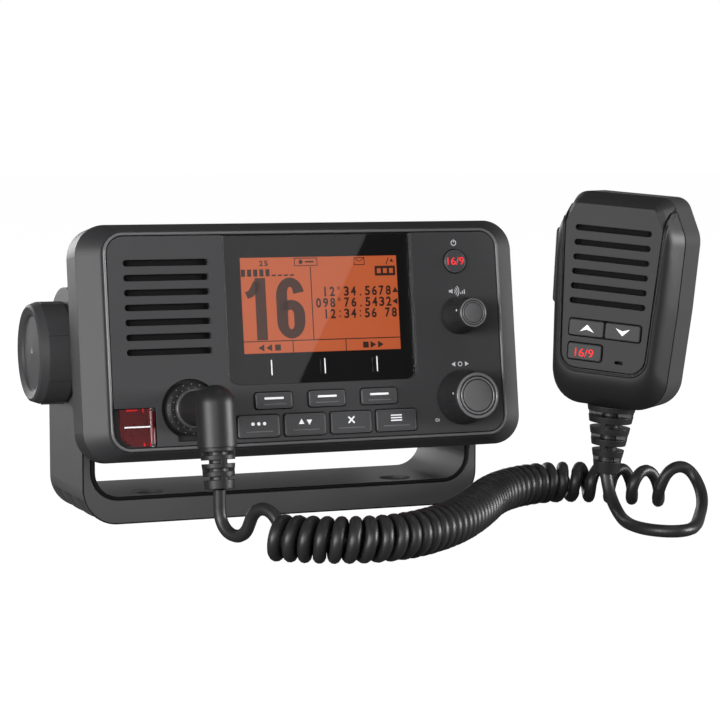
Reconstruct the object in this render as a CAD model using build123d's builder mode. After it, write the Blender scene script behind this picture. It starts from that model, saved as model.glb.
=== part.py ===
from build123d import *
import os
from math import cos, pi, radians, sin, tan

os.makedirs("parts", exist_ok=True)

# ---------------------------------------------------------------- driving dimensions (mm)
# Frame: +X right, +Y to the rear, +Z up; the origin is the centre of the bracket's underside.

# mounting bracket
bracket_width = 157.2
bracket_depth = 48.0
arm_thickness = 3.8
base_thickness = 9.6
bracket_corner_radius = 13.0
bracket_inner_radius = 10.0
bracket_edge_chamfer = 1.2
pivot_height = 62.0
screw_spacing = 100.0
screw_line_y = -11.0
screw_hole_radius = 2.6
screw_head_radius = 6.2
screw_head_depth = 4.6
pocket_count = 3
pocket_pitch = 15.8
pocket_width = 13.6
pocket_depth = 3.2
pocket_reach = 18.0
pocket_roof = 0.4

# tilt axis
radio_tilt = 8.0
pivot_to_face = 52.0
stud_radius = 3.0
running_gap = 0.08
washer_radius = 13.0
washer_thickness = 0.7
pivot_boss_radius = 16.0
insert_radius = 5.0
insert_length = 10.0

# thumb knobs
thumb_radius = 18.9
thumb_face_radius = 17.4
thumb_length = 13.4
thumb_rim_width = 3.0
thumb_dish_depth = 1.8
thumb_rib_count = 7
stud_head_radius = 6.0
stud_head_length = 4.0
side_gap = 0.3

# bezel
face_width = 170.0
face_height = 84.6
face_corner_radius = 11.0
slope_side = 7.7
slope_top = 2.9
rim_drop = 1.5
outline_drop = 6.8
bezel_depth = 18.5
bezel_wall = 3.0
lip_width = 1.7
ledge_width = 1.05
ledge_thickness = 4.5

# face panel
panel_thickness = 3.0
panel_gap = 0.3
window_gap = 0.1
key_gap = 0.35
speaker_slot_count = 7
speaker_slot_length = 31.9
speaker_slot_height = 2.3
speaker_slot_pitch = 5.28
speaker_margin = 31.3
speaker_y = 12.0
speaker_radius = 16.3

# display
window_height = 54.1
window_left_gap = 5.55
window_right_gap = 17.4
window_corner_radius = 4.0
display_side_margin = 3.7
display_height = 41.0
display_y = 11.8
display_thickness = 5.0

# keys
key_rise = 0.7
key_flange = 0.2
key_flange_thickness = 1.2
key_travel = 0.7
soft_key_width = 14.0
soft_key_height = 5.8
soft_key_gap = 6.5
soft_key_count = 3
soft_key_y = -22.7
function_key_gap = 2.17
function_key_count = 4
key_row_inset = 0.95
key_row_shift = 0.2
function_key_height = 7.9
function_key_y = -31.8
power_button_radius = 4.3
power_button_y = 26.4
control_margin = 26.4

# rotary controls
volume_y = 6.1
volume_base_radius = 7.0
volume_front_radius = 5.4
select_y = -24.4
select_base_radius = 10.25
select_front_radius = 8.6
control_height = 14.5
control_gap = 0.8
shaft_radius = 3.0
encoder_size = 12.0
plunger_radius = 4.3
plunger_thickness = 1.0

# distress cover
cover_width = 12.9
cover_height = 13.2
cover_thickness = 1.3
cover_corner_radius = 6.0
cover_hinge_margin = 23.5
cover_y = -30.4
barrel_radius = 1.2
cover_pin_radius = 0.5
well_floor_drop = 2.4
distress_key_width = 6.0
distress_key_height = 9.4

# boards
board_thickness = 1.6
board_drop = 8.0
board_side_margin = 13.5
board_end_margin = 6.3
switch_radius = 2.5

# handset plug
socket_margin = 37.9
socket_y = -24.5
socket_radius = 10.7
socket_foot_width = 10.4
socket_foot_drop = 11.4
neck_radius = 6.3
elbow_radius = 6.8
elbow_reach = 28.0
elbow_top = 7.3
elbow_bottom = 14.3
ring_radius = 9.4
ring_length = 4.6
relief_length = 14.2
relief_radius = 6.2
relief_end_radius = 5.2

# rear chassis
gasket_thickness = 0.6
flange_inset = 1.0
flange_thickness = 3.5
chassis_width = 124.0
chassis_height = 64.0
chassis_length = 89.4
chassis_wall = 6.0
chassis_corner_radius = 7.0
fin_pitch = 10.0
fin_slot_width = 5.0
fin_slot_depth = 9.0
fin_count = 11
fin_top_depth = 3.0
case_screw_margin = 9.0
case_screw_end_margin = 8.8
case_screw_radius = 1.5
antenna_radius = 7.94
antenna_length = 14.0
antenna_x = -36.0
antenna_flange = 25.4
socket_row_height = 18.0
antenna_flange_thickness = 2.5
antenna_wall = 1.6
antenna_mouth_depth = 9.0
antenna_contact_radius = 2.0
gland_x = 30.0

# handset
handset_yaw = 48.3
handset_roll = 4.7
handset_centre = (97.3, -97.1, 88.4)
handset_split = 10.0
handset_depth = 31.0
handset_height = 77.8
handset_bottom = -45.3
handset_top_width = 35.6
handset_shoulder_width = 48.6
handset_shoulder_drop = 14.0
handset_waist_width = 47.2
handset_waist_rise = 37.3
handset_foot_width = 42.8
handset_corner_radii = (6.0, 12.0, 60.0, 11.5)
plate_bottom = -31.2
plate_top_width = 38.4
plate_foot_width = 31.4
plate_corner_radius = 6.0
plate_gap = 0.35
handset_speaker_radius = 12.5
handset_wall = 2.5
grille_thickness = 2.2
handset_slot_count = 6
handset_slot_pitch = 5.3
handset_slot_length = 29.0
handset_slot_height = 2.1
handset_slot_y = 19.5
rocker_width = 27.4
rocker_height = 6.0
rocker_y = -16.6
channel_key_width = 13.0
channel_key_height = 6.0
channel_key_x = -6.9
channel_key_y = -25.3
sound_port_x = 6.3
sound_port_y = -27.8
talk_key_length = 28.0
talk_key_width = 9.4
talk_key_y = 4.2
talk_key_z = -15.5
talk_key_rise = 3.7
talk_travel = 1.2
handset_relief_length = 25.2
handset_relief_radius = 9.0
handset_relief_end_radius = 4.4
handset_relief_z = -14.5
hang_button_radius = 7.5
hang_neck_radius = 4.0

# cords
cord_radius = 2.25
curl_radius = 8.0


# ---------------------------------------------------------------- face layout
# The columns keep their distance from the face's edges, and the window fills what is between.
speaker_x = speaker_margin - face_width / 2
socket_x = socket_margin - face_width / 2
cover_hinge_x = cover_hinge_margin - face_width / 2
control_column_x = face_width / 2 - control_margin
window_left = speaker_x + speaker_slot_length / 2 + window_left_gap
window_right = control_column_x - window_right_gap
window_width = window_right - window_left
window_x = (window_left + window_right) / 2
display_width = window_width - 2 * display_side_margin
key_row_x = window_x + key_row_shift
function_key_pitch = (window_width - 2 * key_row_inset) / function_key_count
function_key_width = function_key_pitch - function_key_gap
soft_key_pitch = soft_key_width + soft_key_gap
board_half_width = face_width / 2 - board_side_margin
board_half_height = face_height / 2 - board_end_margin
case_screw_x = face_width / 2 - case_screw_margin
case_screw_y = face_height / 2 - case_screw_end_margin
antenna_y = socket_row_height - chassis_height / 2


def key_row(count, pitch):
    """The places along a row of keys, centred under the window."""
    return [key_row_x + pitch * (number - (count - 1) / 2) for number in range(count)]


soft_key_x = key_row(soft_key_count, soft_key_pitch)
function_key_x = key_row(function_key_count, function_key_pitch)


# ---------------------------------------------------------------- working planes
tilt = radians(radio_tilt)
face_normal = Vector(0, -cos(tilt), sin(tilt))
pivot = Vector(0, 0, pivot_height)
face = Plane(origin=pivot + face_normal * pivot_to_face, x_dir=(1, 0, 0), z_dir=face_normal)

yaw = radians(handset_yaw)
roll = radians(handset_roll)
handset_normal = Vector(-sin(yaw), -cos(yaw), 0)
handset_right = Vector(cos(yaw) * cos(roll), -sin(yaw) * cos(roll), -sin(roll))
handset = Plane(origin=handset_centre, x_dir=handset_right, z_dir=handset_normal)


def spot(base, x=0.0, y=0.0, z=0.0):
    """A plane parallel to base, with its origin at base's local point."""
    return Plane(origin=base.from_local_coords((x, y, z)), x_dir=base.x_dir, z_dir=base.z_dir)


def section(base, x=0.0, y=0.0, z=0.0):
    """A plane through base's local point whose X is base's X and whose Y is base's normal."""
    return Plane(origin=base.from_local_coords((x, y, z)), x_dir=base.x_dir, z_dir=-base.y_dir)


def downward(base, x=0.0, y=0.0, z=0.0):
    """A plane through base's local point whose X is base's X and whose Y points down base."""
    return Plane(origin=base.from_local_coords((x, y, z)), x_dir=base.x_dir, z_dir=base.z_dir * -1)


def axis_of(plane):
    """The axis of a turned piece: the plane's own Y."""
    return Axis(plane.origin, plane.y_dir)


# ---------------------------------------------------------------- mounting bracket
half_bracket = bracket_width / 2
half_opening = half_bracket - arm_thickness
arm_top = pivot_height + bracket_depth / 2
front_of_bracket = Plane.XZ.offset(bracket_depth / 2)

with BuildPart() as bracket:
    with BuildSketch(front_of_bracket) as outer:
        with Locations((0, arm_top / 2)):
            Rectangle(bracket_width, arm_top)
        fillet(outer.vertices().group_by(Axis.Y)[0], bracket_corner_radius)
    extrude(amount=-bracket_depth)
    with BuildSketch(front_of_bracket) as opening:
        with Locations((0, base_thickness + arm_top / 2)):
            Rectangle(2 * half_opening, arm_top)
        fillet(opening.vertices().group_by(Axis.Y)[0], bracket_inner_radius)
    extrude(amount=-bracket_depth, mode=Mode.SUBTRACT)
    # the arms end in a full round about the tilt axis
    with BuildSketch(Plane.YZ) as arm_profile:
        with Locations((0, pivot_height / 2)):
            Rectangle(bracket_depth, pivot_height)
        with Locations((0, pivot_height)):
            Circle(bracket_depth / 2)
    extrude(amount=bracket_width, both=True, mode=Mode.INTERSECT)
    front_edges = bracket.edges().filter_by_position(Axis.Y, -bracket_depth / 2, -bracket_depth / 2)
    inner_edges = front_edges.filter_by_position(Axis.X, -half_opening, half_opening)
    chamfer(inner_edges.filter_by_position(Axis.Z, base_thickness - 0.1, pivot_height), bracket_edge_chamfer)
    # ribbed pockets in both lower corners
    for side in (-1, 1):
        for row in GridLocations(0, pocket_pitch, 1, pocket_count).locations:
            with BuildSketch(Plane.XZ.offset(pocket_width / 2 - row.position.Y)):
                with Locations((side * (half_bracket - pocket_reach / 2), base_thickness / 2 - pocket_roof)):
                    Rectangle(pocket_reach, base_thickness)
                with Locations((0, pocket_depth + arm_top / 2)):
                    RectangleRounded(
                        bracket_width - 2 * pocket_depth,
                        arm_top,
                        bracket_corner_radius - pocket_depth,
                        mode=Mode.SUBTRACT,
                    )
            extrude(amount=-pocket_width, mode=Mode.SUBTRACT)
    with Locations(Plane.XY.offset(base_thickness)):
        with Locations((0, screw_line_y)):
            with GridLocations(screw_spacing, 0, 2, 1):
                CounterBoreHole(screw_hole_radius, screw_head_radius, screw_head_depth)
    with BuildSketch(Plane.YZ) as pivot_hole:
        with Locations((0, pivot_height)):
            Circle(stud_radius + running_gap)
    extrude(amount=bracket_width, both=True, mode=Mode.SUBTRACT)
bracket.part.label = "bracket"
export_step(bracket.part, "parts/bracket.step")


# ---------------------------------------------------------------- thumb knobs and their studs
def across(side, distance):
    """A plane on the tilt axis, out from the arm: X is to the rear, Y points outwards."""
    return Plane(
        origin=(side * (half_bracket + distance), 0, pivot_height),
        x_dir=(0, 1, 0),
        z_dir=(0, 0, -side),
    )


stud_tip = -(arm_thickness + washer_thickness + insert_length)
head_start = thumb_length - thumb_dish_depth - stud_head_length - 1.6

with BuildPart() as thumb_knob_left:
    knob_section = across(-1, side_gap)
    with BuildSketch(knob_section):
        with BuildLine():
            Polyline(
                (stud_radius, 0),
                (thumb_radius - 0.6, 0),
                (thumb_radius, 1.2),
                (thumb_radius, thumb_length - 3.4),
                (thumb_face_radius + 0.5, thumb_length - 0.6),
                (thumb_face_radius - 0.4, thumb_length),
                (thumb_face_radius - thumb_rim_width, thumb_length - 0.9),
                (thumb_face_radius - thumb_rim_width - 0.8, thumb_length - thumb_dish_depth),
                (0, thumb_length - thumb_dish_depth + 0.6),
                (0, head_start + stud_head_length),
                (stud_head_radius, head_start + stud_head_length),
                (stud_head_radius, head_start),
                (stud_radius, head_start),
                close=True,
            )
        make_face()
    revolve(axis=axis_of(knob_section))
    rib_plane = Plane(origin=knob_section.origin, x_dir=(0, 1, 0), z_dir=(-1, 0, 0))
    with BuildSketch(rib_plane.offset(1.2)):
        with PolarLocations(thumb_radius - 0.1, thumb_rib_count):
            Rectangle(1.0, 1.8)
    extrude(amount=thumb_length - 4.8)
thumb_knob_left.part.label = "thumb_knob_left"
export_step(thumb_knob_left.part, "parts/thumb_knob_left.step")

with BuildPart() as thumb_knob_right:
    mirror(thumb_knob_left.part, about=Plane.YZ)
thumb_knob_right.part.label = "thumb_knob_right"
export_step(thumb_knob_right.part, "parts/thumb_knob_right.step")

with BuildPart() as knob_stud_left:
    stud_section = across(-1, side_gap)
    with BuildSketch(stud_section):
        with BuildLine():
            Polyline(
                (0, stud_tip),
                (stud_radius - 0.6, stud_tip),
                (stud_radius, stud_tip + 0.6),
                (stud_radius, head_start),
                (stud_head_radius, head_start),
                (stud_head_radius, head_start + stud_head_length),
                (0, head_start + stud_head_length),
                close=True,
            )
        make_face()
    revolve(axis=axis_of(stud_section))
knob_stud_left.part.label = "knob_stud_left"
export_step(knob_stud_left.part, "parts/knob_stud_left.step")

with BuildPart() as knob_stud_right:
    mirror(knob_stud_left.part, about=Plane.YZ)
knob_stud_right.part.label = "knob_stud_right"
export_step(knob_stud_right.part, "parts/knob_stud_right.step")

boss_end = half_opening - washer_thickness - 0.1
with BuildPart() as friction_washers:
    for side in (-1, 1):
        with BuildSketch(Plane(origin=(side * boss_end, 0, pivot_height), x_dir=(0, 1, 0), z_dir=(side, 0, 0))):
            Circle(washer_radius)
            Circle(stud_radius + running_gap, mode=Mode.SUBTRACT)
        extrude(amount=washer_thickness)
friction_washers.part.label = "friction_washers"
export_step(friction_washers.part, "parts/friction_washers.step")

with BuildPart() as pivot_inserts:
    for side in (-1, 1):
        with BuildSketch(Plane(origin=(side * boss_end, 0, pivot_height), x_dir=(0, 1, 0), z_dir=(side, 0, 0))):
            Circle(insert_radius)
            Circle(stud_radius + running_gap, mode=Mode.SUBTRACT)
        extrude(amount=-insert_length)
pivot_inserts.part.label = "pivot_inserts"
export_step(pivot_inserts.part, "parts/pivot_inserts.step")


# ---------------------------------------------------------------- front bezel
rim_width = face_width - 2 * slope_side
rim_height = face_height - 2 * slope_top
panel_width = rim_width - 2 * lip_width - 2 * panel_gap
panel_height = rim_height - 2 * lip_width - 2 * panel_gap
rim_radius = face_corner_radius - slope_top
panel_radius = rim_radius - lip_width
cavity_top = panel_thickness + ledge_thickness

with BuildPart() as front_bezel:
    with BuildSketch(spot(face, z=-bezel_depth)):
        RectangleRounded(face_width, face_height, face_corner_radius)
    extrude(amount=bezel_depth - outline_drop)
    with BuildSketch(spot(face, z=-outline_drop)):
        RectangleRounded(face_width, face_height, face_corner_radius)
    with BuildSketch(spot(face, z=-rim_drop)):
        RectangleRounded(rim_width, rim_height, rim_radius)
    loft()
    # the raised lip round the panel
    with BuildSketch(spot(face, z=-rim_drop)):
        RectangleRounded(rim_width - 0.4, rim_height - 0.4, rim_radius - 0.2)
    extrude(amount=rim_drop - 0.1, taper=18)
    with BuildSketch(face):
        RectangleRounded(panel_width + 2 * panel_gap, panel_height + 2 * panel_gap, panel_radius)
    extrude(amount=-panel_thickness, mode=Mode.SUBTRACT)
    with BuildSketch(spot(face, z=-panel_thickness)):
        RectangleRounded(
            panel_width - 2 * ledge_width,
            panel_height - 2 * ledge_width,
            panel_radius - ledge_width,
        )
    extrude(amount=-ledge_thickness, mode=Mode.SUBTRACT)
    with BuildSketch(spot(face, z=-bezel_depth)):
        RectangleRounded(
            face_width - 2 * bezel_wall,
            face_height - 2 * bezel_wall,
            face_corner_radius - bezel_wall,
        )
    extrude(amount=bezel_depth - cavity_top, mode=Mode.SUBTRACT)
    with BuildSketch(spot(face, z=-bezel_depth)):
        with GridLocations(2 * case_screw_x, 2 * case_screw_y, 2, 2):
            Circle(case_screw_radius + 2.5)
    extrude(amount=bezel_depth - cavity_top)
    with BuildSketch(spot(face, z=-bezel_depth)):
        with GridLocations(2 * case_screw_x, 2 * case_screw_y, 2, 2):
            Circle(case_screw_radius)
    extrude(amount=bezel_depth - cavity_top - 1.0, mode=Mode.SUBTRACT)
front_bezel.part.label = "front_bezel"
export_step(front_bezel.part, "parts/front_bezel.step")


# ---------------------------------------------------------------- face panel
window_top = panel_height / 2
window_y = window_top - window_height / 2
cover_left = cover_hinge_x + 1.1 - cover_width
cover_top = cover_y + cover_height / 2
cover_bottom = cover_y - cover_height / 2
well_right = cover_hinge_x + barrel_radius + 0.3
well_top = cover_top + 0.3
well_width = well_right + panel_width / 2
well_height = well_top + panel_height / 2
shaft_hole = shaft_radius + running_gap

with BuildPart() as face_panel:
    with BuildSketch(face):
        RectangleRounded(panel_width, panel_height, panel_radius - panel_gap)
        with Locations((speaker_x, speaker_y)):
            with GridLocations(0, speaker_slot_pitch, 1, speaker_slot_count):
                SlotOverall(speaker_slot_length, speaker_slot_height, mode=Mode.SUBTRACT)
        with Locations((window_x, window_y + window_corner_radius)):
            RectangleRounded(
                window_width + 2 * window_gap,
                window_height + 2 * window_gap + 2 * window_corner_radius,
                window_corner_radius,
                mode=Mode.SUBTRACT,
            )
        with Locations([(x, soft_key_y) for x in soft_key_x]):
            RectangleRounded(
                soft_key_width + 2 * key_gap,
                soft_key_height + 2 * key_gap,
                1.1,
                mode=Mode.SUBTRACT,
            )
        with Locations([(x, function_key_y) for x in function_key_x]):
            RectangleRounded(
                function_key_width + 2 * key_gap,
                function_key_height + 2 * key_gap,
                1.1,
                mode=Mode.SUBTRACT,
            )
        with Locations((control_column_x, power_button_y)):
            Circle(power_button_radius + key_gap, mode=Mode.SUBTRACT)
        with Locations((control_column_x, volume_y), (control_column_x, select_y)):
            Circle(shaft_hole, mode=Mode.SUBTRACT)
        with Locations((socket_x, socket_y)):
            Circle(socket_radius, mode=Mode.SUBTRACT)
        with Locations((socket_x, socket_y - socket_foot_drop / 2)):
            Rectangle(socket_foot_width, socket_foot_drop, mode=Mode.SUBTRACT)
        with Locations((well_right - well_width / 2, well_top - well_height / 2)):
            Rectangle(well_width, well_height, mode=Mode.SUBTRACT)
    extrude(amount=-panel_thickness)
face_panel.part.label = "face_panel"
export_step(face_panel.part, "parts/face_panel.step")


# ---------------------------------------------------------------- display
with BuildPart() as display_window:
    with BuildSketch(spot(face, window_x, window_y)) as glass:
        Rectangle(window_width, window_height)
        fillet(glass.vertices().sort_by(Axis.Y)[:2], window_corner_radius)
    extrude(amount=-panel_thickness)
display_window.part.label = "display_window"
export_step(display_window.part, "parts/display_window.step")

with BuildPart() as display_module:
    with BuildSketch(spot(face, window_x, display_y, -panel_thickness)):
        RectangleRounded(display_width, display_height, 1.0)
    extrude(amount=-display_thickness)
display_module.part.label = "display_module"
export_step(display_module.part, "parts/display_module.step")


# ---------------------------------------------------------------- keys
def key_shape(base, width, height, rise, depth):
    """A rounded cap with a flange behind the panel."""
    with BuildPart() as key:
        with BuildSketch(spot(base, z=-depth)):
            RectangleRounded(width, height, 0.8)
        extrude(amount=depth + rise)
        flange = 2 * (key_gap + key_flange)
        with BuildSketch(spot(base, z=-depth)):
            RectangleRounded(width + flange, height + flange, 1.2)
        extrude(amount=-key_flange_thickness)
        cap_edges = key.faces().sort_by(Axis(base.origin, base.z_dir))[-1].edges()
        chamfer(cap_edges, 0.3)
    return key.part


key_depth = panel_thickness + 0.1
key_bottom = key_depth + key_flange_thickness

for number, key_x in enumerate(soft_key_x, start=1):
    with BuildPart() as soft_key:
        add(key_shape(spot(face, key_x, soft_key_y), soft_key_width, soft_key_height, key_rise, key_depth))
    soft_key.part.label = f"soft_key_{number}"
    export_step(soft_key.part, f"parts/soft_key_{number}.step")

for number, key_x in enumerate(function_key_x, start=1):
    with BuildPart() as function_key:
        place = spot(face, key_x, function_key_y)
        add(key_shape(place, function_key_width, function_key_height, key_rise, key_depth))
    function_key.part.label = f"function_key_{number}"
    export_step(function_key.part, f"parts/function_key_{number}.step")

mat_top = key_bottom + key_travel + 0.1
mat_left = function_key_x[0] - function_key_width / 2 - 1.0
mat_right = function_key_x[-1] + function_key_width / 2 + 1.0
mat_low = function_key_y - function_key_height / 2 - 0.4
mat_high = soft_key_y + soft_key_height / 2 + 1.0

with BuildPart() as keypad_mat:
    with BuildSketch(spot(face, (mat_left + mat_right) / 2, (mat_low + mat_high) / 2, -board_drop)):
        RectangleRounded(mat_right - mat_left, mat_high - mat_low, 1.0)
    extrude(amount=board_drop - mat_top)
keypad_mat.part.label = "keypad_mat"
export_step(keypad_mat.part, "parts/keypad_mat.step")

with BuildPart() as power_button:
    button_section = section(face, control_column_x, power_button_y)
    with BuildSketch(button_section):
        with BuildLine():
            Polyline(
                (0, -key_bottom),
                (power_button_radius + key_gap + key_flange, -key_bottom),
                (power_button_radius + key_gap + key_flange, -key_depth),
                (power_button_radius, -key_depth),
                (power_button_radius, key_rise - 0.4),
                (power_button_radius - 0.5, key_rise),
                (0, key_rise),
                close=True,
            )
        make_face()
    revolve(axis=axis_of(button_section))
power_button.part.label = "power_button"
export_step(power_button.part, "parts/power_button.step")


# ---------------------------------------------------------------- rotary controls
shaft_top = control_height - 3.5
shaft_bottom = -(panel_thickness + 2.4)
encoder_top = panel_thickness + 0.5
chamber_top = -shaft_bottom - 0.2
chamber_bottom = board_drop - 0.4

controls = {
    "volume": (volume_y, volume_base_radius, volume_front_radius),
    "select": (select_y, select_base_radius, select_front_radius),
}
for control, (control_y, base_radius, front_radius) in controls.items():
    turn_section = section(face, control_column_x, control_y)
    with BuildPart() as knob:
        with BuildSketch(turn_section):
            with BuildLine():
                Polyline(
                    (shaft_radius, control_gap),
                    (base_radius, control_gap),
                    (base_radius, control_gap + 0.8),
                    (base_radius - 0.5 * (base_radius - front_radius), 6.0),
                    (front_radius, control_height - 1.0),
                    (front_radius - 0.6, control_height),
                    (front_radius * 0.84, control_height),
                    (front_radius * 0.82, control_height - 0.9),
                    (front_radius * 0.72, control_height - 0.9),
                    (front_radius * 0.70, control_height - 0.1),
                    (0, control_height - 0.1),
                    (0, shaft_top),
                    (shaft_radius, shaft_top),
                    close=True,
                )
            make_face()
        revolve(axis=axis_of(turn_section))
    knob.part.label = f"{control}_knob"
    export_step(knob.part, f"parts/{control}_knob.step")

    with BuildPart() as shaft:
        with BuildSketch(spot(face, control_column_x, control_y, shaft_bottom)):
            Circle(shaft_radius)
        extrude(amount=shaft_top - shaft_bottom)
    shaft.part.label = f"{control}_shaft"
    export_step(shaft.part, f"parts/{control}_shaft.step")

    with BuildPart() as plunger:
        with BuildSketch(spot(face, control_column_x, control_y, shaft_bottom)):
            Circle(plunger_radius)
        extrude(amount=-plunger_thickness)
    plunger.part.label = f"{control}_plunger"
    export_step(plunger.part, f"parts/{control}_plunger.step")

    with BuildPart() as encoder:
        with BuildSketch(spot(face, control_column_x, control_y, -board_drop)):
            Rectangle(encoder_size, encoder_size)
        extrude(amount=board_drop - encoder_top)
        with BuildSketch(turn_section):
            with BuildLine():
                Polyline(
                    (0, -chamber_bottom),
                    (plunger_radius + 0.2, -chamber_bottom),
                    (plunger_radius + 0.2, -chamber_top),
                    (shaft_hole, -chamber_top),
                    (shaft_hole, -panel_thickness),
                    (0, -panel_thickness),
                    close=True,
                )
            make_face()
        revolve(axis=axis_of(turn_section), mode=Mode.SUBTRACT)
    encoder.part.label = f"{control}_encoder"
    export_step(encoder.part, f"parts/{control}_encoder.step")


# ---------------------------------------------------------------- distress cover, pin, well and key
lug = 0.9
pin_low = cover_bottom - 0.1
pin_high = cover_top + 0.1
hinge_drop = 0.9

with BuildPart() as distress_cover:
    plate_width = cover_hinge_x - cover_left
    with BuildSketch(spot(face, cover_hinge_x - plate_width / 2, cover_y, -cover_thickness)) as plate:
        Rectangle(plate_width, cover_height)
        low = plate.vertices().group_by(Axis.Y)[0]
        fillet(low.sort_by(Axis.X)[0], cover_corner_radius)
    extrude(amount=cover_thickness)
    barrel = downward(face, cover_hinge_x, cover_top - lug - 0.1, -hinge_drop)
    with BuildSketch(Plane(origin=barrel.origin, x_dir=face.x_dir, z_dir=-face.y_dir)):
        Circle(barrel_radius)
    extrude(amount=cover_height - 2 * lug - 0.2)
    # clear of the lugs that hold the pin
    for lug_y in (cover_top, cover_bottom):
        with BuildSketch(spot(face, cover_hinge_x, lug_y, -well_floor_drop)):
            Rectangle(2 * barrel_radius + 0.3, 2 * lug + 0.2)
        extrude(amount=2 * well_floor_drop, mode=Mode.SUBTRACT)
    with BuildSketch(Plane(origin=barrel.origin, x_dir=face.x_dir, z_dir=-face.y_dir).offset(-2)):
        Circle(cover_pin_radius + 0.05)
    extrude(amount=cover_height + 4, mode=Mode.SUBTRACT)
distress_cover.part.label = "distress_cover"
export_step(distress_cover.part, "parts/distress_cover.step")

with BuildPart() as cover_pin:
    pin_start = spot(face, cover_hinge_x, pin_high, -hinge_drop)
    with BuildSketch(Plane(origin=pin_start.origin, x_dir=face.x_dir, z_dir=-face.y_dir)):
        Circle(cover_pin_radius)
    extrude(amount=pin_high - pin_low)
cover_pin.part.label = "cover_pin"
export_step(cover_pin.part, "parts/cover_pin.step")

well_left = -panel_width / 2
well_low = -panel_height / 2
well_inner_left = well_left + ledge_width + 0.3
well_inner_low = well_low + ledge_width + 0.3
well_depth = 5.4

with BuildPart() as distress_well:
    with BuildSketch(
        spot(face, (well_left + well_right - 0.1) / 2, (well_low + well_top - 0.1) / 2, -panel_thickness)
    ) as well_floor:
        Rectangle(well_right - 0.1 - well_left, well_top - 0.1 - well_low)
        low = well_floor.vertices().group_by(Axis.Y)[0]
        fillet(low.sort_by(Axis.X)[0], panel_radius - panel_gap)
    extrude(amount=panel_thickness - well_floor_drop)
    with BuildSketch(
        spot(
            face,
            (well_inner_left + well_right - 0.1) / 2,
            (well_inner_low + well_top - 0.1) / 2,
            -panel_thickness,
        )
    ) as well_body:
        Rectangle(well_right - 0.1 - well_inner_left, well_top - 0.1 - well_inner_low)
        low = well_body.vertices().group_by(Axis.Y)[0]
        fillet(low.sort_by(Axis.X)[0], panel_radius - ledge_width)
    extrude(amount=panel_thickness - well_depth)
    for lug_y in (cover_top - lug / 2, cover_bottom + lug / 2):
        with BuildSketch(spot(face, cover_hinge_x, lug_y, -well_floor_drop)):
            Rectangle(2.0, lug)
        extrude(amount=well_floor_drop - 0.2)
    with BuildSketch(Plane(origin=pin_start.origin, x_dir=face.x_dir, z_dir=-face.y_dir).offset(-1)):
        Circle(cover_pin_radius)
    extrude(amount=cover_height + 2, mode=Mode.SUBTRACT)
    with BuildSketch(spot(face, cover_left + 4.9, cover_y, -well_floor_drop)):
        RectangleRounded(distress_key_width + 2 * key_gap, distress_key_height + 2 * key_gap, 1.1)
    extrude(amount=-well_depth, mode=Mode.SUBTRACT)
distress_well.part.label = "distress_well"
export_step(distress_well.part, "parts/distress_well.step")

with BuildPart() as distress_key:
    key_place = spot(face, cover_left + 4.9, cover_y)
    with BuildSketch(spot(key_place, z=-well_depth - 0.1)):
        RectangleRounded(distress_key_width, distress_key_height, 0.8)
    extrude(amount=well_depth + 0.1 - cover_thickness - 0.5)
    with BuildSketch(spot(key_place, z=-well_depth - 0.1)):
        RectangleRounded(distress_key_width + 1.1, distress_key_height + 1.1, 1.2)
    extrude(amount=-key_flange_thickness)
distress_key.part.label = "distress_key"
export_step(distress_key.part, "parts/distress_key.step")


# ---------------------------------------------------------------- main board
with BuildPart() as main_board:
    with BuildSketch(spot(face, z=-board_drop)):
        Rectangle(2 * board_half_width, 2 * board_half_height)
        with Locations((speaker_x, speaker_y)):
            Rectangle(2 * speaker_radius + 2, 2 * speaker_radius + 2, mode=Mode.SUBTRACT)
        with Locations((socket_x, socket_y)):
            Circle(socket_radius - 1.4, mode=Mode.SUBTRACT)
    extrude(amount=-board_thickness)
    # push switches under the power button
    with BuildSketch(spot(face, control_column_x, power_button_y, -board_drop)):
        Circle(switch_radius)
    extrude(amount=board_drop - mat_top)
main_board.part.label = "main_board"
export_step(main_board.part, "parts/main_board.step")


# ---------------------------------------------------------------- speaker
with BuildPart() as speaker_driver:
    speaker_section = section(face, speaker_x, speaker_y)
    with BuildSketch(speaker_section):
        with BuildLine():
            Polyline(
                (0, -14.5),
                (9.0, -14.5),
                (9.0, -9.5),
                (speaker_radius - 2.5, -4.4),
                (speaker_radius, -4.4),
                (speaker_radius, -panel_thickness),
                (speaker_radius - 2.0, -panel_thickness),
                (speaker_radius - 3.5, -panel_thickness - 1.0),
                (5.0, -7.0),
                (0, -5.6),
                close=True,
            )
        make_face()
    revolve(axis=axis_of(speaker_section))
speaker_driver.part.label = "speaker_driver"
export_step(speaker_driver.part, "parts/speaker_driver.step")


# ---------------------------------------------------------------- handset socket and plug
socket_face = 2.0
socket_depth = 15.0
plug_depth = 8.0

with BuildPart() as mic_socket:
    with BuildSketch(spot(face, socket_x, socket_y, -socket_face)):
        Circle(socket_radius - 0.1)
        with Locations((0, -socket_foot_drop / 2)):
            Rectangle(socket_foot_width - 0.2, socket_foot_drop - 0.2)
    extrude(amount=-(panel_thickness - socket_face))
    with BuildSketch(spot(face, socket_x, socket_y, -socket_face)):
        Circle(socket_radius - 1.5)
    extrude(amount=-(socket_depth - socket_face))
    with BuildSketch(spot(face, socket_x, socket_y, -socket_face)):
        Circle(neck_radius)
    extrude(amount=-(plug_depth - socket_face), mode=Mode.SUBTRACT)
mic_socket.part.label = "mic_socket"
export_step(mic_socket.part, "parts/mic_socket.step")

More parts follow.
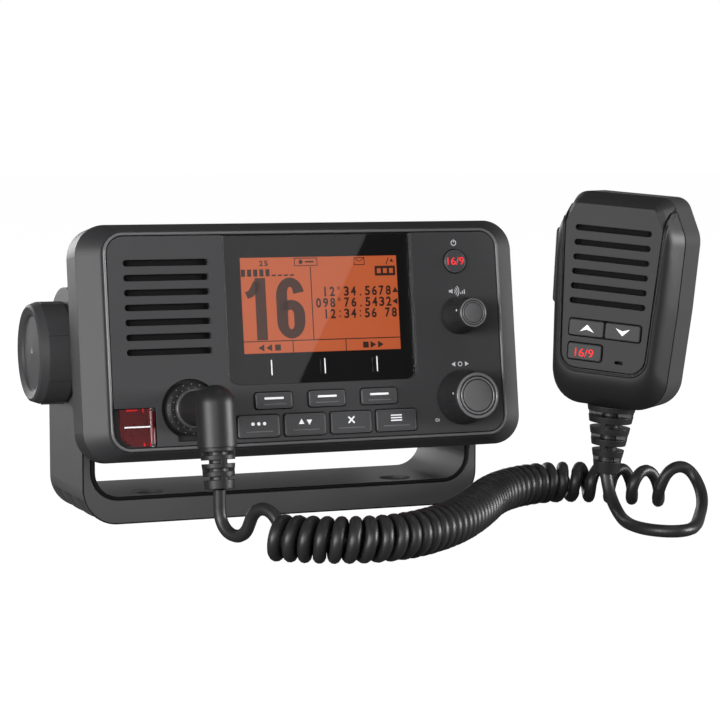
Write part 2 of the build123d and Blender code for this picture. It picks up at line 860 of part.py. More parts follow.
with BuildPart() as plug_elbow:
    with BuildSketch(spot(face, socket_x, socket_y, -plug_depth)):
        Circle(neck_radius)
    extrude(amount=plug_depth + elbow_reach)
    body_section = downward(face, socket_x, socket_y + elbow_top, elbow_reach)
    with BuildSketch(body_section):
        with BuildLine():
            Polyline(
                (elbow_radius, elbow_radius),
                (elbow_radius, elbow_top + elbow_bottom),
                (0, elbow_top + elbow_bottom),
                (0, 0),
            )
            CenterArc((0, elbow_radius), elbow_radius, -90, 90)
        make_face()
    revolve(axis=axis_of(body_section))
plug_elbow.part.label = "plug_elbow"
export_step(plug_elbow.part, "parts/plug_elbow.step")

with BuildPart() as plug_ring:
    ring_section = section(face, socket_x, socket_y, -socket_face)
    with BuildSketch(ring_section):
        with BuildLine():
            Polyline(
                (neck_radius + running_gap, 0),
                (ring_radius - 0.3, 0),
                (ring_radius, 0.5),
                (ring_radius, ring_length - 1.2),
                (ring_radius - 1.2, ring_length),
                (neck_radius + running_gap, ring_length),
                close=True,
            )
        make_face()
    revolve(axis=axis_of(ring_section))
plug_ring.part.label = "plug_ring"
export_step(plug_ring.part, "parts/plug_ring.step")


def ribbed_relief(start, length, radius, end_radius, neck, rings):
    """A tapered strain relief: rings round a core, joined by webs on alternate sides."""
    pitch = length / rings
    with BuildPart() as relief:
        with BuildSketch(start):
            with BuildLine():
                Polyline((0, 0), (radius, 0), (end_radius, length), (0, length), close=True)
            make_face()
        revolve(axis=axis_of(start))
        for ring in range(rings - 1):
            middle = (ring + 0.72) * pitch
            width = pitch * 0.44
            groove = Plane(
                origin=start.from_local_coords((0, middle)),
                x_dir=start.x_dir,
                z_dir=start.y_dir,
            )
            with BuildSketch(groove.offset(-width / 2)):
                Circle(radius + 1)
                Circle(neck, mode=Mode.SUBTRACT)
                Rectangle(
                    1.8 if ring % 2 else 2 * radius + 3,
                    2 * radius + 3 if ring % 2 else 1.8,
                    mode=Mode.SUBTRACT,
                )
            extrude(amount=width, mode=Mode.SUBTRACT)
    return relief.part


plug_relief_start = downward(face, socket_x, socket_y - elbow_bottom, elbow_reach)
with BuildPart() as plug_strain_relief:
    add(ribbed_relief(plug_relief_start, relief_length, relief_radius, relief_end_radius, 3.2, 5))
plug_strain_relief.part.label = "plug_strain_relief"
export_step(plug_strain_relief.part, "parts/plug_strain_relief.step")


# ---------------------------------------------------------------- rear chassis
gasket_front = -bezel_depth
flange_front = gasket_front - gasket_thickness
flange_back = flange_front - flange_thickness
chassis_back = flange_back - chassis_length
flange_width = face_width - 2 * flange_inset
flange_height = face_height - 2 * flange_inset
flange_radius = face_corner_radius - flange_inset
pivot_plane = Plane(origin=pivot, x_dir=face.y_dir, z_dir=(1, 0, 0))
fin_places = GridLocations(fin_pitch, 0, fin_count, 1)

with BuildPart() as housing_gasket:
    with BuildSketch(spot(face, z=gasket_front)):
        RectangleRounded(flange_width, flange_height, flange_radius)
        RectangleRounded(
            face_width - 2 * bezel_wall,
            face_height - 2 * bezel_wall,
            face_corner_radius - bezel_wall,
            mode=Mode.SUBTRACT,
        )
    extrude(amount=-gasket_thickness)
housing_gasket.part.label = "housing_gasket"
export_step(housing_gasket.part, "parts/housing_gasket.step")

with BuildPart() as rear_chassis:
    with BuildSketch(spot(face, z=flange_front)):
        RectangleRounded(flange_width, flange_height, flange_radius)
    extrude(amount=-flange_thickness)
    with BuildSketch(spot(face, z=flange_back)):
        RectangleRounded(chassis_width, chassis_height, chassis_corner_radius)
    extrude(amount=-chassis_length)
    with BuildSketch(pivot_plane):
        Circle(pivot_boss_radius)
    extrude(amount=boss_end, both=True)
    with BuildSketch(spot(face, z=flange_front)):
        RectangleRounded(
            chassis_width - 2 * chassis_wall,
            chassis_height - 2 * chassis_wall,
            chassis_corner_radius - 2.0,
        )
    extrude(amount=-(flange_thickness + chassis_length - chassis_wall - fin_slot_depth), mode=Mode.SUBTRACT)
    with BuildSketch(pivot_plane):
        Circle(insert_radius)
    extrude(amount=boss_end, both=True, mode=Mode.SUBTRACT)
    # cooling fins: slots down the upper half of the back, running on as grooves along the top
    with BuildSketch(spot(face, y=chassis_height / 2, z=chassis_back)):
        with fin_places:
            Rectangle(fin_slot_width, chassis_height)
    extrude(amount=fin_slot_depth, mode=Mode.SUBTRACT)
    with BuildSketch(spot(face, y=chassis_height / 2, z=chassis_back)):
        with fin_places:
            Rectangle(fin_slot_width, 2 * fin_top_depth)
    extrude(amount=chassis_length - 12.0, mode=Mode.SUBTRACT)
    with BuildSketch(spot(face, z=flange_front)):
        with GridLocations(2 * case_screw_x, 2 * case_screw_y, 2, 2):
            Circle(case_screw_radius)
    extrude(amount=-flange_thickness, mode=Mode.SUBTRACT)
rear_chassis.part.label = "rear_chassis"
export_step(rear_chassis.part, "parts/rear_chassis.step")

with BuildPart() as housing_screws:
    with BuildSketch(spot(face, z=flange_back)):
        with GridLocations(2 * case_screw_x, 2 * case_screw_y, 2, 2):
            Circle(case_screw_radius)
    extrude(amount=flange_thickness + gasket_thickness + 8.0)
    with BuildSketch(spot(face, z=flange_back)):
        with GridLocations(2 * case_screw_x, 2 * case_screw_y, 2, 2):
            Circle(2 * case_screw_radius)
    extrude(amount=-2.2)
housing_screws.part.label = "housing_screws"
export_step(housing_screws.part, "parts/housing_screws.step")

cavity_back = chassis_back + fin_slot_depth + chassis_wall
can_height = 6.0
board_width = chassis_width - 2 * chassis_wall - 8.0
board_height = chassis_height - 2 * chassis_wall - 6.0
with BuildPart() as transmitter_board:
    with BuildSketch(spot(face, z=cavity_back)):
        Rectangle(board_width / 2, board_height / 2)
    extrude(amount=can_height)
    with BuildSketch(spot(face, z=cavity_back + can_height)):
        Rectangle(board_width, board_height)
    extrude(amount=board_thickness)
transmitter_board.part.label = "transmitter_board"
export_step(transmitter_board.part, "parts/transmitter_board.step")

rearward = Plane(origin=face.from_local_coords((0, 0, chassis_back)), x_dir=(-1, 0, 0), z_dir=-face.z_dir)
with BuildPart() as antenna_socket:
    with BuildSketch(spot(rearward, -antenna_x, antenna_y)):
        RectangleRounded(antenna_flange, antenna_flange, 2.0)
    extrude(amount=antenna_flange_thickness)
    with BuildSketch(spot(rearward, -antenna_x, antenna_y, antenna_flange_thickness)):
        Circle(antenna_radius)
    extrude(amount=antenna_length)
    with BuildSketch(spot(rearward, -antenna_x, antenna_y, antenna_flange_thickness + antenna_length)):
        Circle(antenna_radius - antenna_wall)
    extrude(amount=-antenna_mouth_depth, mode=Mode.SUBTRACT)
    with BuildSketch(spot(rearward, -antenna_x, antenna_y, antenna_flange_thickness + antenna_length)):
        Circle(antenna_contact_radius)
    extrude(amount=-antenna_mouth_depth - 4.0, mode=Mode.SUBTRACT)
antenna_socket.part.label = "antenna_socket"
export_step(antenna_socket.part, "parts/antenna_socket.step")

with BuildPart() as cable_gland:
    with BuildSketch(spot(rearward, -gland_x, antenna_y)):
        RegularPolygon(10.0, 6)
    extrude(amount=5.0)
    with BuildSketch(spot(rearward, -gland_x, antenna_y, 5.0)):
        Circle(8.0)
    extrude(amount=9.0, taper=12)
    with BuildSketch(spot(rearward, -gland_x, antenna_y, 14.0)):
        Circle(3.2)
    extrude(amount=-12.0, mode=Mode.SUBTRACT)
cable_gland.part.label = "cable_gland"
export_step(cable_gland.part, "parts/cable_gland.step")


# ---------------------------------------------------------------- handset shells
handset_top = handset_bottom + handset_height


def handset_face(inset):
    """The handset's outline, drawn in by inset all round: square shoulders, sides that taper down."""
    right_side = [
        (handset_top_width / 2, handset_top),
        (handset_shoulder_width / 2, handset_top - handset_shoulder_drop),
        (handset_waist_width / 2, handset_bottom + handset_waist_rise),
        (handset_foot_width / 2, handset_bottom),
    ]
    with BuildSketch(mode=Mode.PRIVATE) as outline:
        with BuildLine():
            left_side = [(-x, y) for x, y in reversed(right_side)]
            Polyline(*right_side, *left_side, close=True)
        make_face()
        for (x, y), radius in zip(right_side, handset_corner_radii):
            fillet(outline.vertices().sort_by_distance((x, y, 0))[0], radius)
            fillet(outline.vertices().sort_by_distance((-x, y, 0))[0], radius)
        if inset:
            offset(amount=-inset, kind=Kind.INTERSECTION)
    return outline.sketch


front_inset = 4.2
shoulder_drop = 2.6
shoulder_inset = 2.4
rear_inset = 4.6
rear_straight = 16.5
cavity_front = 3.6
front_wall = 4.6
key_floor = cavity_front + 0.1
handset_board_drop = 8.5
handset_board_thickness = 1.4
rocker_x = rocker_width / 4 + 0.1
rocker_key_width = rocker_width / 2 - 0.2
screw_x = handset_top_width / 2 - 7.5
screw_high = handset_top - 10.5
screw_low = handset_bottom + 12.5
screw_places = [(-screw_x, screw_high), (screw_x, screw_high), (0.0, screw_low)]


def handset_openings():
    """Sound slots, key holes and the microphone port, through the plate and the shell behind it."""
    with BuildSketch(mode=Mode.PRIVATE) as openings:
        with Locations((0, handset_slot_y - handset_slot_pitch * (handset_slot_count - 1) / 2)):
            with GridLocations(0, handset_slot_pitch, 1, handset_slot_count):
                SlotOverall(handset_slot_length, handset_slot_height)
        with Locations((0, rocker_y)):
            RectangleRounded(rocker_width + 2 * key_gap, rocker_height + 2 * key_gap, 1.2)
        with Locations((channel_key_x, channel_key_y)):
            RectangleRounded(channel_key_width + 2 * key_gap, channel_key_height + 2 * key_gap, 1.2)
        with Locations((sound_port_x, sound_port_y)):
            SlotOverall(3.2, 1.1)
    return openings.sketch


def shell_block():
    """The front shell before it is hollowed: sides that lean in to a rounded flat front."""
    with BuildPart(mode=Mode.PRIVATE) as block:
        with BuildSketch(spot(handset, z=-handset_split)):
            add(handset_face(0))
        with BuildSketch(spot(handset, z=-shoulder_drop)):
            add(handset_face(shoulder_inset))
        loft()
        with BuildSketch(spot(handset, z=-shoulder_drop)):
            add(handset_face(shoulder_inset))
        with BuildSketch(handset):
            add(handset_face(front_inset))
        loft()
    return block.part


def plate_room(margin):
    """The outer skin of the front shell that the plate takes up, on over the top edge."""
    top = handset_top + 2.0
    half_top = plate_top_width / 2 + margin
    half_foot = plate_foot_width / 2 + margin
    low = plate_bottom - margin
    with BuildPart(mode=Mode.PRIVATE) as room:
        add(shell_block())
        with BuildSketch(handset) as outline:
            Polygon((half_top, top), (half_foot, low), (-half_foot, low), (-half_top, top), align=None)
            fillet(outline.vertices().group_by(Axis.Y)[0], plate_corner_radius + margin)
        extrude(amount=-handset_split, mode=Mode.INTERSECT)
        add(shell_block().moved(Location(handset.z_dir * -grille_thickness)), mode=Mode.SUBTRACT)
    return room.part


with BuildPart() as handset_front:
    add(shell_block())
    with BuildSketch(spot(handset, z=-handset_split)):
        add(handset_face(front_wall))
    extrude(amount=handset_split - cavity_front, mode=Mode.SUBTRACT)
    add(plate_room(plate_gap), mode=Mode.SUBTRACT)
    with BuildSketch(spot(handset, z=-grille_thickness)):
        add(handset_openings())
    extrude(amount=-grille_thickness, mode=Mode.SUBTRACT)
handset_front.part.label = "handset_front"
export_step(handset_front.part, "parts/handset_front.step")

side_narrowing = (handset_shoulder_width - handset_waist_width) / 2
side_lean = Vector(handset_shoulder_drop + handset_waist_rise - handset_height, -side_narrowing).normalized()
talk_plane = Plane(
    origin=handset.from_local_coords((0.4 - handset_shoulder_width / 2, talk_key_y, talk_key_z)),
    x_dir=handset.x_dir * side_lean.Y - handset.y_dir * side_lean.X,
    z_dir=handset.x_dir * side_lean.X + handset.y_dir * side_lean.Y,
)
rear_wall = handset_wall + 1.2
talk_key_seat = rear_wall + 0.7

with BuildPart() as handset_rear:
    with BuildSketch(spot(handset, z=-handset_split)):
        add(handset_face(0))
    extrude(amount=-rear_straight)
    with BuildSketch(spot(handset, z=-handset_split - rear_straight)):
        add(handset_face(0))
    with BuildSketch(spot(handset, z=-handset_depth)):
        add(handset_face(rear_inset))
    loft()
    with BuildSketch(spot(handset, z=-handset_split)):
        add(handset_face(rear_wall))
    extrude(amount=-(handset_depth - handset_split - 5.0), mode=Mode.SUBTRACT)
    with BuildSketch(talk_plane):
        RectangleRounded(talk_key_length + 2 * side_gap, talk_key_width + 2 * side_gap, 2.0)
    extrude(amount=6.0, both=True, mode=Mode.SUBTRACT)
    with BuildSketch(spot(handset, z=-handset_depth)):
        with Locations(screw_places):
            Circle(2.5)
    extrude(amount=1.5, mode=Mode.SUBTRACT)
    with BuildSketch(spot(handset, z=-handset_depth)):
        with Locations(screw_places):
            Circle(1.1)
    extrude(amount=4.5, mode=Mode.SUBTRACT)
handset_rear.part.label = "handset_rear"
export_step(handset_rear.part, "parts/handset_rear.step")

with BuildPart() as handset_screws:
    with BuildSketch(spot(handset, z=-handset_depth + 0.1)):
        with Locations(screw_places):
            Circle(2.4)
    extrude(amount=1.4)
    with BuildSketch(spot(handset, z=-handset_depth + 1.5)):
        with Locations(screw_places):
            Circle(1.1)
    extrude(amount=3.0)
handset_screws.part.label = "handset_screws"
export_step(handset_screws.part, "parts/handset_screws.step")

with BuildPart() as handset_grille:
    add(plate_room(0))
    with BuildSketch(handset):
        add(handset_openings())
    extrude(amount=-grille_thickness, mode=Mode.SUBTRACT)
handset_grille.part.label = "handset_grille"
export_step(handset_grille.part, "parts/handset_grille.step")


# ---------------------------------------------------------------- handset keys
def handset_key(base, width, height, flange_left, flange_right):
    """A cap on the plate, a flange behind the shell and a stem that reaches for the board."""
    flange_width = width + flange_left + flange_right
    with BuildPart() as key:
        with BuildSketch(spot(base, z=-key_floor)):
            RectangleRounded(width, height, 0.9)
        extrude(amount=key_floor + key_rise)
        cap_edges = key.faces().sort_by(Axis(base.origin, base.z_dir))[-1].edges()
        chamfer(cap_edges, 0.3)
        with BuildSketch(spot(base, (flange_right - flange_left) / 2, 0, -key_floor)):
            RectangleRounded(flange_width, height + 2 * (key_gap + key_flange), 1.0)
        extrude(amount=-1.0)
        with BuildSketch(spot(base, z=-key_floor)):
            Circle(1.5)
        extrude(amount=key_floor - handset_board_drop + 0.8)
    return key.part


flange_out = key_gap + key_flange
with BuildPart() as handset_up_key:
    add(handset_key(spot(handset, -rocker_x, rocker_y), rocker_key_width, rocker_height, flange_out, 0))
handset_up_key.part.label = "handset_up_key"
export_step(handset_up_key.part, "parts/handset_up_key.step")

with BuildPart() as handset_down_key:
    add(handset_key(spot(handset, rocker_x, rocker_y), rocker_key_width, rocker_height, 0, flange_out))
handset_down_key.part.label = "handset_down_key"
export_step(handset_down_key.part, "parts/handset_down_key.step")

with BuildPart() as handset_channel_key:
    key_place = spot(handset, channel_key_x, channel_key_y)
    add(handset_key(key_place, channel_key_width, channel_key_height, flange_out, flange_out))
handset_channel_key.part.label = "handset_channel_key"
export_step(handset_channel_key.part, "parts/handset_channel_key.step")

with BuildPart() as talk_key:
    with BuildSketch(spot(talk_plane, z=-talk_key_seat)):
        RectangleRounded(talk_key_length, talk_key_width, 1.8)
    extrude(amount=talk_key_seat + talk_key_rise)
    top_edges = talk_key.faces().sort_by(Axis(talk_plane.origin, talk_plane.z_dir))[-1].edges()
    chamfer(top_edges, 1.2)
    with BuildSketch(spot(talk_plane, z=-talk_key_seat)):
        RectangleRounded(talk_key_length + 1.4, talk_key_width + 1.0, 2.2)
    extrude(amount=-1.0)
talk_key.part.label = "talk_key"
export_step(talk_key.part, "parts/talk_key.step")


# ---------------------------------------------------------------- inside the handset
with BuildPart() as handset_board:
    with BuildSketch(spot(handset, z=-handset_board_drop)):
        add(handset_face(front_wall + 0.4))
    extrude(amount=-handset_board_thickness)
handset_board.part.label = "handset_board"
export_step(handset_board.part, "parts/handset_board.step")

with BuildPart() as handset_speaker:
    with BuildSketch(spot(handset, 0, 6.0, -handset_board_drop)):
        Circle(handset_speaker_radius)
    extrude(amount=handset_board_drop - cavity_front)
    with BuildSketch(spot(handset, 0, 6.0, -cavity_front)):
        Circle(handset_speaker_radius - 2.0)
    extrude(amount=-1.5, mode=Mode.SUBTRACT)
handset_speaker.part.label = "handset_speaker"
export_step(handset_speaker.part, "parts/handset_speaker.step")

with BuildPart() as microphone_capsule:
    with BuildSketch(spot(handset, sound_port_x, sound_port_y, -handset_board_drop)):
        Circle(3.0)
    extrude(amount=handset_board_drop - cavity_front)
microphone_capsule.part.label = "microphone_capsule"
export_step(microphone_capsule.part, "parts/microphone_capsule.step")

relief_start = downward(handset, 0, handset_bottom, handset_relief_z)
with BuildPart() as handset_strain_relief:
    add(
        ribbed_relief(
            relief_start,
            handset_relief_length,
            handset_relief_radius,
            handset_relief_end_radius,
            3.2,
            6,
        )
    )
handset_strain_relief.part.label = "handset_strain_relief"
export_step(handset_strain_relief.part, "parts/handset_strain_relief.step")

button_start = section(handset, 0, 10.0, -handset_depth)
with BuildPart() as hang_button:
    with BuildSketch(button_start):
        with BuildLine():
            Polyline(
                (0, 0),
                (hang_neck_radius + 1.5, 0),
                (hang_neck_radius, -1.2),
                (hang_neck_radius, -3.0),
                (hang_button_radius, -3.0),
                (hang_button_radius, -5.2),
                (hang_button_radius - 1.0, -6.0),
                (0, -6.0),
                close=True,
            )
        make_face()
    revolve(axis=axis_of(button_start))
hang_button.part.label = "hang_button"
export_step(hang_button.part, "parts/hang_button.step")


# ---------------------------------------------------------------- handset cord
def cord_solid(points, radius, name):
    """A round tube along straight runs joined by the largest tangent arcs that fit them."""
    route = [Vector(*point) for point in points]
    runs = [b - a for a, b in zip(route, route[1:])]
    radii = []
    for before, after in zip(runs, runs[1:]):
        half_turn = radians(before.get_angle(after)) / 2
        radii.append(0.45 * min(before.length, after.length) / tan(half_turn))
    print(name, "bend radii", [round(value, 1) for value in radii])
    with BuildPart() as tube:
        with BuildLine() as path:
            line = FilletPolyline(*route, radius=radii)
        with BuildSketch(Plane(origin=route[0], z_dir=runs[0])):
            Circle(radius)
        sweep(path=path.line)
    print(name, "length", round(line.length, 1), "volume", round(tube.part.volume, 1))
    print(name, "section x length", round(pi * radius**2 * line.length, 1))
    return tube.part


plug_exit = downward(face, socket_x, socket_y - elbow_bottom - relief_length, elbow_reach).origin
handset_exit = downward(handset, 0, handset_bottom - handset_relief_length, handset_relief_z).origin

curl_points = [
    (-38.5, -117.5, curl_radius),
    (-25.0, -130.5, curl_radius),
    (0.0, -134.5, curl_radius),
    (25.0, -117.0, curl_radius),
    (47.0, -91.0, curl_radius),
    (76.0, -48.0, curl_radius),
    (104.0, -32.0, curl_radius),
    (127.0, -44.0, curl_radius),
    (141.0, -63.0, curl_radius),
]
lead_points = [
    plug_exit,
    plug_exit - face.y_dir * 10.0,
    (-45.9, -95.0, 6.6),
    (-43.2, -103.0, 7.2),
    (-41.0, -109.0, 9.5),
    (-36.9, -114.9, 10.9),
]
tail_points = [
    (142.2, -62.2, 10.0),
    (148.0, -70.0, 10.0),
    (151.5, -75.0, 4.5),
    (147.5, -84.0, 2.5),
    (136.0, -101.0, 2.5),
    (121.0, -121.0, 2.5),
    (108.0, -131.5, 2.5),
    (100.0, -121.0, 2.5),
    (102.0, -104.0, 3.0),
    (105.2, -92.0, 5.5),
    handset_exit - handset.y_dir * 6.5,
    handset_exit,
]

with BuildPart() as cord_curl:
    add(cord_solid(curl_points, curl_radius, "cord_curl"))
cord_curl.part.label = "cord_curl"
export_step(cord_curl.part, "parts/cord_curl.step")

with BuildPart() as cord_lead:
    add(cord_solid(lead_points, cord_radius, "cord_lead"))
cord_lead.part.label = "cord_lead"
export_step(cord_lead.part, "parts/cord_lead.step")

with BuildPart() as cord_tail:
    add(cord_solid(tail_points, cord_radius, "cord_tail"))
cord_tail.part.label = "cord_tail"
export_step(cord_tail.part, "parts/cord_tail.step")
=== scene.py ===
import math

import bmesh
import bpy
from mathutils import Matrix, Vector


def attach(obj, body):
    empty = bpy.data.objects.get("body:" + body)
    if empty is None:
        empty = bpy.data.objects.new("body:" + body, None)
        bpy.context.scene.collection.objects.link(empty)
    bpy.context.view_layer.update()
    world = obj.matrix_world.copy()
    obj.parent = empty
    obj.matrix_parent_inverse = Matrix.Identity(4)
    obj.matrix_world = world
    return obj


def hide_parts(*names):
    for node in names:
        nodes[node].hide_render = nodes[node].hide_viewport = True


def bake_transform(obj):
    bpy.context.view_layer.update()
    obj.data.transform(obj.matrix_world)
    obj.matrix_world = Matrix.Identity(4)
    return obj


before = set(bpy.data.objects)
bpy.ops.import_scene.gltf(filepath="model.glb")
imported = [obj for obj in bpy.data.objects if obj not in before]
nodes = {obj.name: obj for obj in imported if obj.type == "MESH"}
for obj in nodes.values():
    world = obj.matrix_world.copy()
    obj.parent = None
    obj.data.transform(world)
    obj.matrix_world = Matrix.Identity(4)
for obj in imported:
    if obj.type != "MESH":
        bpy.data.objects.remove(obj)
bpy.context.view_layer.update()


# The studio: a camera to the left of the radio, a tall softbox at each side, a card in front
# whose edge is mirrored in the display window, weak lamps overhead and behind, a white floor.
bpy.ops.object.select_all(action="DESELECT")
bpy.ops.object.camera_add(
    location=(-0.2947, -0.8312, 0.1347),
    rotation=(math.radians(90 - 5.08), 0, math.radians(-21.92)),
)
camera = bpy.context.object
camera.data.lens = 115.0
bpy.context.scene.camera = camera
bpy.context.scene.view_settings.view_transform = "Standard"


def softbox(name, place, target, size, watts):
    """A soft rectangular lamp at place that faces target."""
    bpy.ops.object.light_add(type="AREA", location=place)
    lamp = bpy.context.object
    lamp.name = name
    lamp.data.shape = "RECTANGLE"
    lamp.data.size, lamp.data.size_y = size
    lamp.data.energy = watts
    facing = Vector(target) - Vector(place)
    lamp.rotation_euler = facing.to_track_quat("-Z", "Y").to_euler()
    return lamp


softbox("left_softbox", (-1.45, -0.78, 0.24), (-0.05, -0.03, 0.07), (1.0, 0.45), 24)
softbox("right_softbox", (1.44, -0.70, 0.24), (0.05, -0.05, 0.07), (0.9, 0.45), 26)
softbox("front_fill", (-0.90, -1.75, 0.45), (0, -0.05, 0.07), (1.2, 0.8), 11)
softbox("top_lamp", (0.4, -0.2, 1.6), (0, 0, 0.05), (0.5, 0.3), 1.0)
softbox("rear_lamp", (-0.5, 1.7, 0.35), (0, 0, 0.06), (1.0, 0.6), 9)
front_card = softbox("front_card", (0.132, -1.532, 0.615), (0, 0, 0), (1.0, 1.5), 2.2)
card_across = Vector((-0.83907, -0.22721, 0.49431))
card_edge = Vector((-0.40757, -0.33932, -0.84779))
card_facing = Vector((0.36036, -0.91282, 0.19211))
front_card.rotation_euler = Matrix((card_across, card_edge, card_facing)).transposed().to_euler()


class Shade:
    """A value in a material's nodes. Sums written with it add the nodes that work them out."""

    def __init__(self, tree, socket=None):
        self.tree = tree
        self.socket = socket

    def node(self, kind, settings=None, inputs=None, output=0):
        """Adds a node: its settings first, then the values or links of its inputs."""
        made = self.tree.nodes.new("ShaderNode" + kind)
        for setting, value in (settings or {}).items():
            setattr(made, setting, value)
        for place, value in (inputs or {}).items():
            if isinstance(value, Shade):
                self.tree.links.new(value.socket, made.inputs[place])
            else:
                made.inputs[place].default_value = value
        return Shade(self.tree, made.outputs[output] if made.outputs else None)

    def sum(self, operation, *values):
        return self.node("Math", {"operation": operation}, dict(enumerate(values)))

    def __add__(self, other):
        return self.sum("ADD", self, other)

    def __mul__(self, other):
        return self.sum("MULTIPLY", self, other)

    __radd__ = __add__
    __rmul__ = __mul__

    def blend(self, low, high):
        """The colour low where this value is 0, and high where it is 1."""
        return self.node("Mix", {"data_type": "RGBA"}, {0: self, 6: (*low, 1), 7: (*high, 1)}, 2)

    def noise(self, scale, detail, roughness=0.5):
        """Cloudy noise that stays with the piece when it moves."""
        place = self.node("TexCoord", output="Object")
        return self.node("TexNoise", inputs={"Vector": place, "Scale": scale, "Detail": detail, "Roughness": roughness})

    def surface(self, inputs, kind="BsdfPrincipled"):
        """Ends a material with its shader."""
        self.node("OutputMaterial", inputs={"Surface": self.node(kind, inputs=inputs)})

    def rays(self):
        """Whether a ray comes from the camera, off something glossy, or through something clear."""
        return [self.node("LightPath", output=f"Is {kind} Ray") for kind in ("Camera", "Glossy", "Transmission")]


def start_material(name):
    """An empty material, and the Shade that its nodes are added with."""
    material = bpy.data.materials.new(name)
    material.use_nodes = True
    material.node_tree.nodes.clear()
    return material, Shade(material.node_tree)


floor_material, floor_shade = start_material("white_floor")
seen, mirrored, through = floor_shade.rays()
direct = seen.sum("MAXIMUM", 0.06 * mirrored, seen.sum("MAXIMUM", seen, through))
shadow_share = floor_shade.node("BsdfDiffuse", inputs={"Color": (0.16, 0.16, 0.16, 1)})
white = floor_shade.node("Emission", inputs={"Color": (1, 1, 1, 1), "Strength": 0.985})
shown_floor = floor_shade.node("AddShader", inputs={0: shadow_share, 1: white})
dim_floor = floor_shade.node("BsdfDiffuse", inputs={"Color": (0.08, 0.08, 0.08, 1)})
floor_shade.surface({0: direct, 1: dim_floor, 2: shown_floor}, "MixShader")
bpy.ops.mesh.primitive_plane_add(size=30, location=(0, 0, -0.0003))
floor = bpy.context.object
floor.name = "floor"
floor.data.materials.append(floor_material)

world = bpy.data.worlds.new("studio")
bpy.context.scene.world = world
world.use_nodes = True
world.node_tree.nodes.clear()
air = Shade(world.node_tree)
sky_seen, sky_mirrored, sky_through = air.rays()
toward = air.node("TexCoord", output="Generated")
rearward = air.node("SeparateXYZ", inputs={0: toward}, output="Y")
behind = air.node("MapRange", {"interpolation_type": "SMOOTHSTEP"}, {0: rearward, 1: 0.75, 2: 0.98, 3: 0.04, 4: 1.0})
sky_level = behind.sum("MAXIMUM", behind * sky_mirrored, sky_seen.sum("MAXIMUM", sky_seen, sky_through))
sky_level = sky_level.sum("MAXIMUM", sky_level, 0.035)
background = air.node("Background", inputs={"Color": (1, 1, 1, 1), "Strength": sky_level})
air.node("OutputWorld", inputs={"Surface": background})


# The handset's cord: a smooth black rubber jacket, 4.5 mm thick. It hangs from the plug, is
# wound into close turns that lie in front of the bracket, and opens out to a loose loop
# that rises into the handset.
cord_thickness = 0.0045
coil_height = 0.008
turn_radius = coil_height - cord_thickness / 2
close_pitch = 0.0047
open_pitch = 0.0125
open_stretch = 0.064
turn_steps = 28

lead_route = [
    (-0.0471, -0.0866, 0.0204),
    (-0.0471, -0.0866, 0.0168),
    (-0.0471, -0.0866, 0.0130),
    (-0.0468, -0.0871, 0.0099),
    (-0.0461, -0.0887, 0.0073),
    (-0.0450, -0.0910, 0.0056),
    (-0.0437, -0.0938, 0.0050),
    (-0.0424, -0.0966, 0.0057),
    (-0.0414, -0.0988, 0.0077),
    (-0.0408, -0.1000, 0.0105),
    (-0.0402, -0.1012, 0.0133),
    (-0.0392, -0.1034, 0.0153),
    (-0.0379, -0.1061, 0.0160),
    (-0.0366, -0.1089, 0.0154),
    (-0.0355, -0.1113, 0.0137),
    (-0.0348, -0.1128, 0.0111),
    (-0.0345, -0.1134, 0.0080),
]
coil_route = [
    (-0.0385, -0.1175, 0.0080),
    (-0.0250, -0.1305, 0.0080),
    (0.0000, -0.1345, 0.0080),
    (0.0250, -0.1170, 0.0080),
    (0.0470, -0.0910, 0.0080),
    (0.0760, -0.0480, 0.0080),
    (0.1040, -0.0320, 0.0080),
    (0.1270, -0.0440, 0.0080),
    (0.1410, -0.0630, 0.0080),
]
tail_route = [
    (0.1364, -0.0664, 0.0080),
    (0.1372, -0.0676, 0.0120),
    (0.1398, -0.0690, 0.0158),
    (0.1440, -0.0695, 0.0168),
    (0.1476, -0.0702, 0.0148),
    (0.1492, -0.0728, 0.0108),
    (0.1484, -0.0775, 0.0068),
    (0.1448, -0.0840, 0.0035),
    (0.1390, -0.0925, 0.0023),
    (0.1310, -0.1050, 0.0023),
    (0.1230, -0.1170, 0.0023),
    (0.1155, -0.1255, 0.0023),
    (0.1080, -0.1265, 0.0023),
    (0.1025, -0.1205, 0.0023),
    (0.1010, -0.1110, 0.0023),
    (0.1022, -0.1010, 0.0028),
    (0.1038, -0.0930, 0.0050),
    (0.1045, -0.0870, 0.0090),
    (0.1044, -0.0840, 0.0140),
    (0.1043, -0.0831, 0.0180),
]


def routed_curve(name, points, kind="NURBS"):
    """A curve object through or along points."""
    line = bpy.data.curves.new(name, "CURVE")
    line.dimensions = "3D"
    line.resolution_u = 16
    spline = line.splines.new(kind)
    spline.points.add(len(points) - 1)
    for point, place in zip(spline.points, points):
        point.co = (*place, 1)
    if kind == "NURBS":
        spline.order_u = 3
        spline.use_endpoint_u = True
    holder = bpy.data.objects.new(name, line)
    bpy.context.scene.collection.objects.link(holder)
    return holder


def read_line(holder):
    """The places along a curve with no bevel."""
    bpy.context.view_layer.update()
    shape = holder.evaluated_get(bpy.context.evaluated_depsgraph_get())
    mesh = bpy.data.meshes.new_from_object(shape)
    places = [vertex.co.copy() for vertex in mesh.vertices]
    bpy.data.meshes.remove(mesh)
    return places


def select_only(*pieces):
    bpy.ops.object.select_all(action="DESELECT")
    for piece in pieces:
        piece.select_set(True)
    bpy.context.view_layer.objects.active = pieces[0]


def smooth(degrees):
    """Shades the selected piece smooth, except at edges sharper than this."""
    bpy.ops.object.shade_smooth_by_angle(angle=math.radians(degrees))


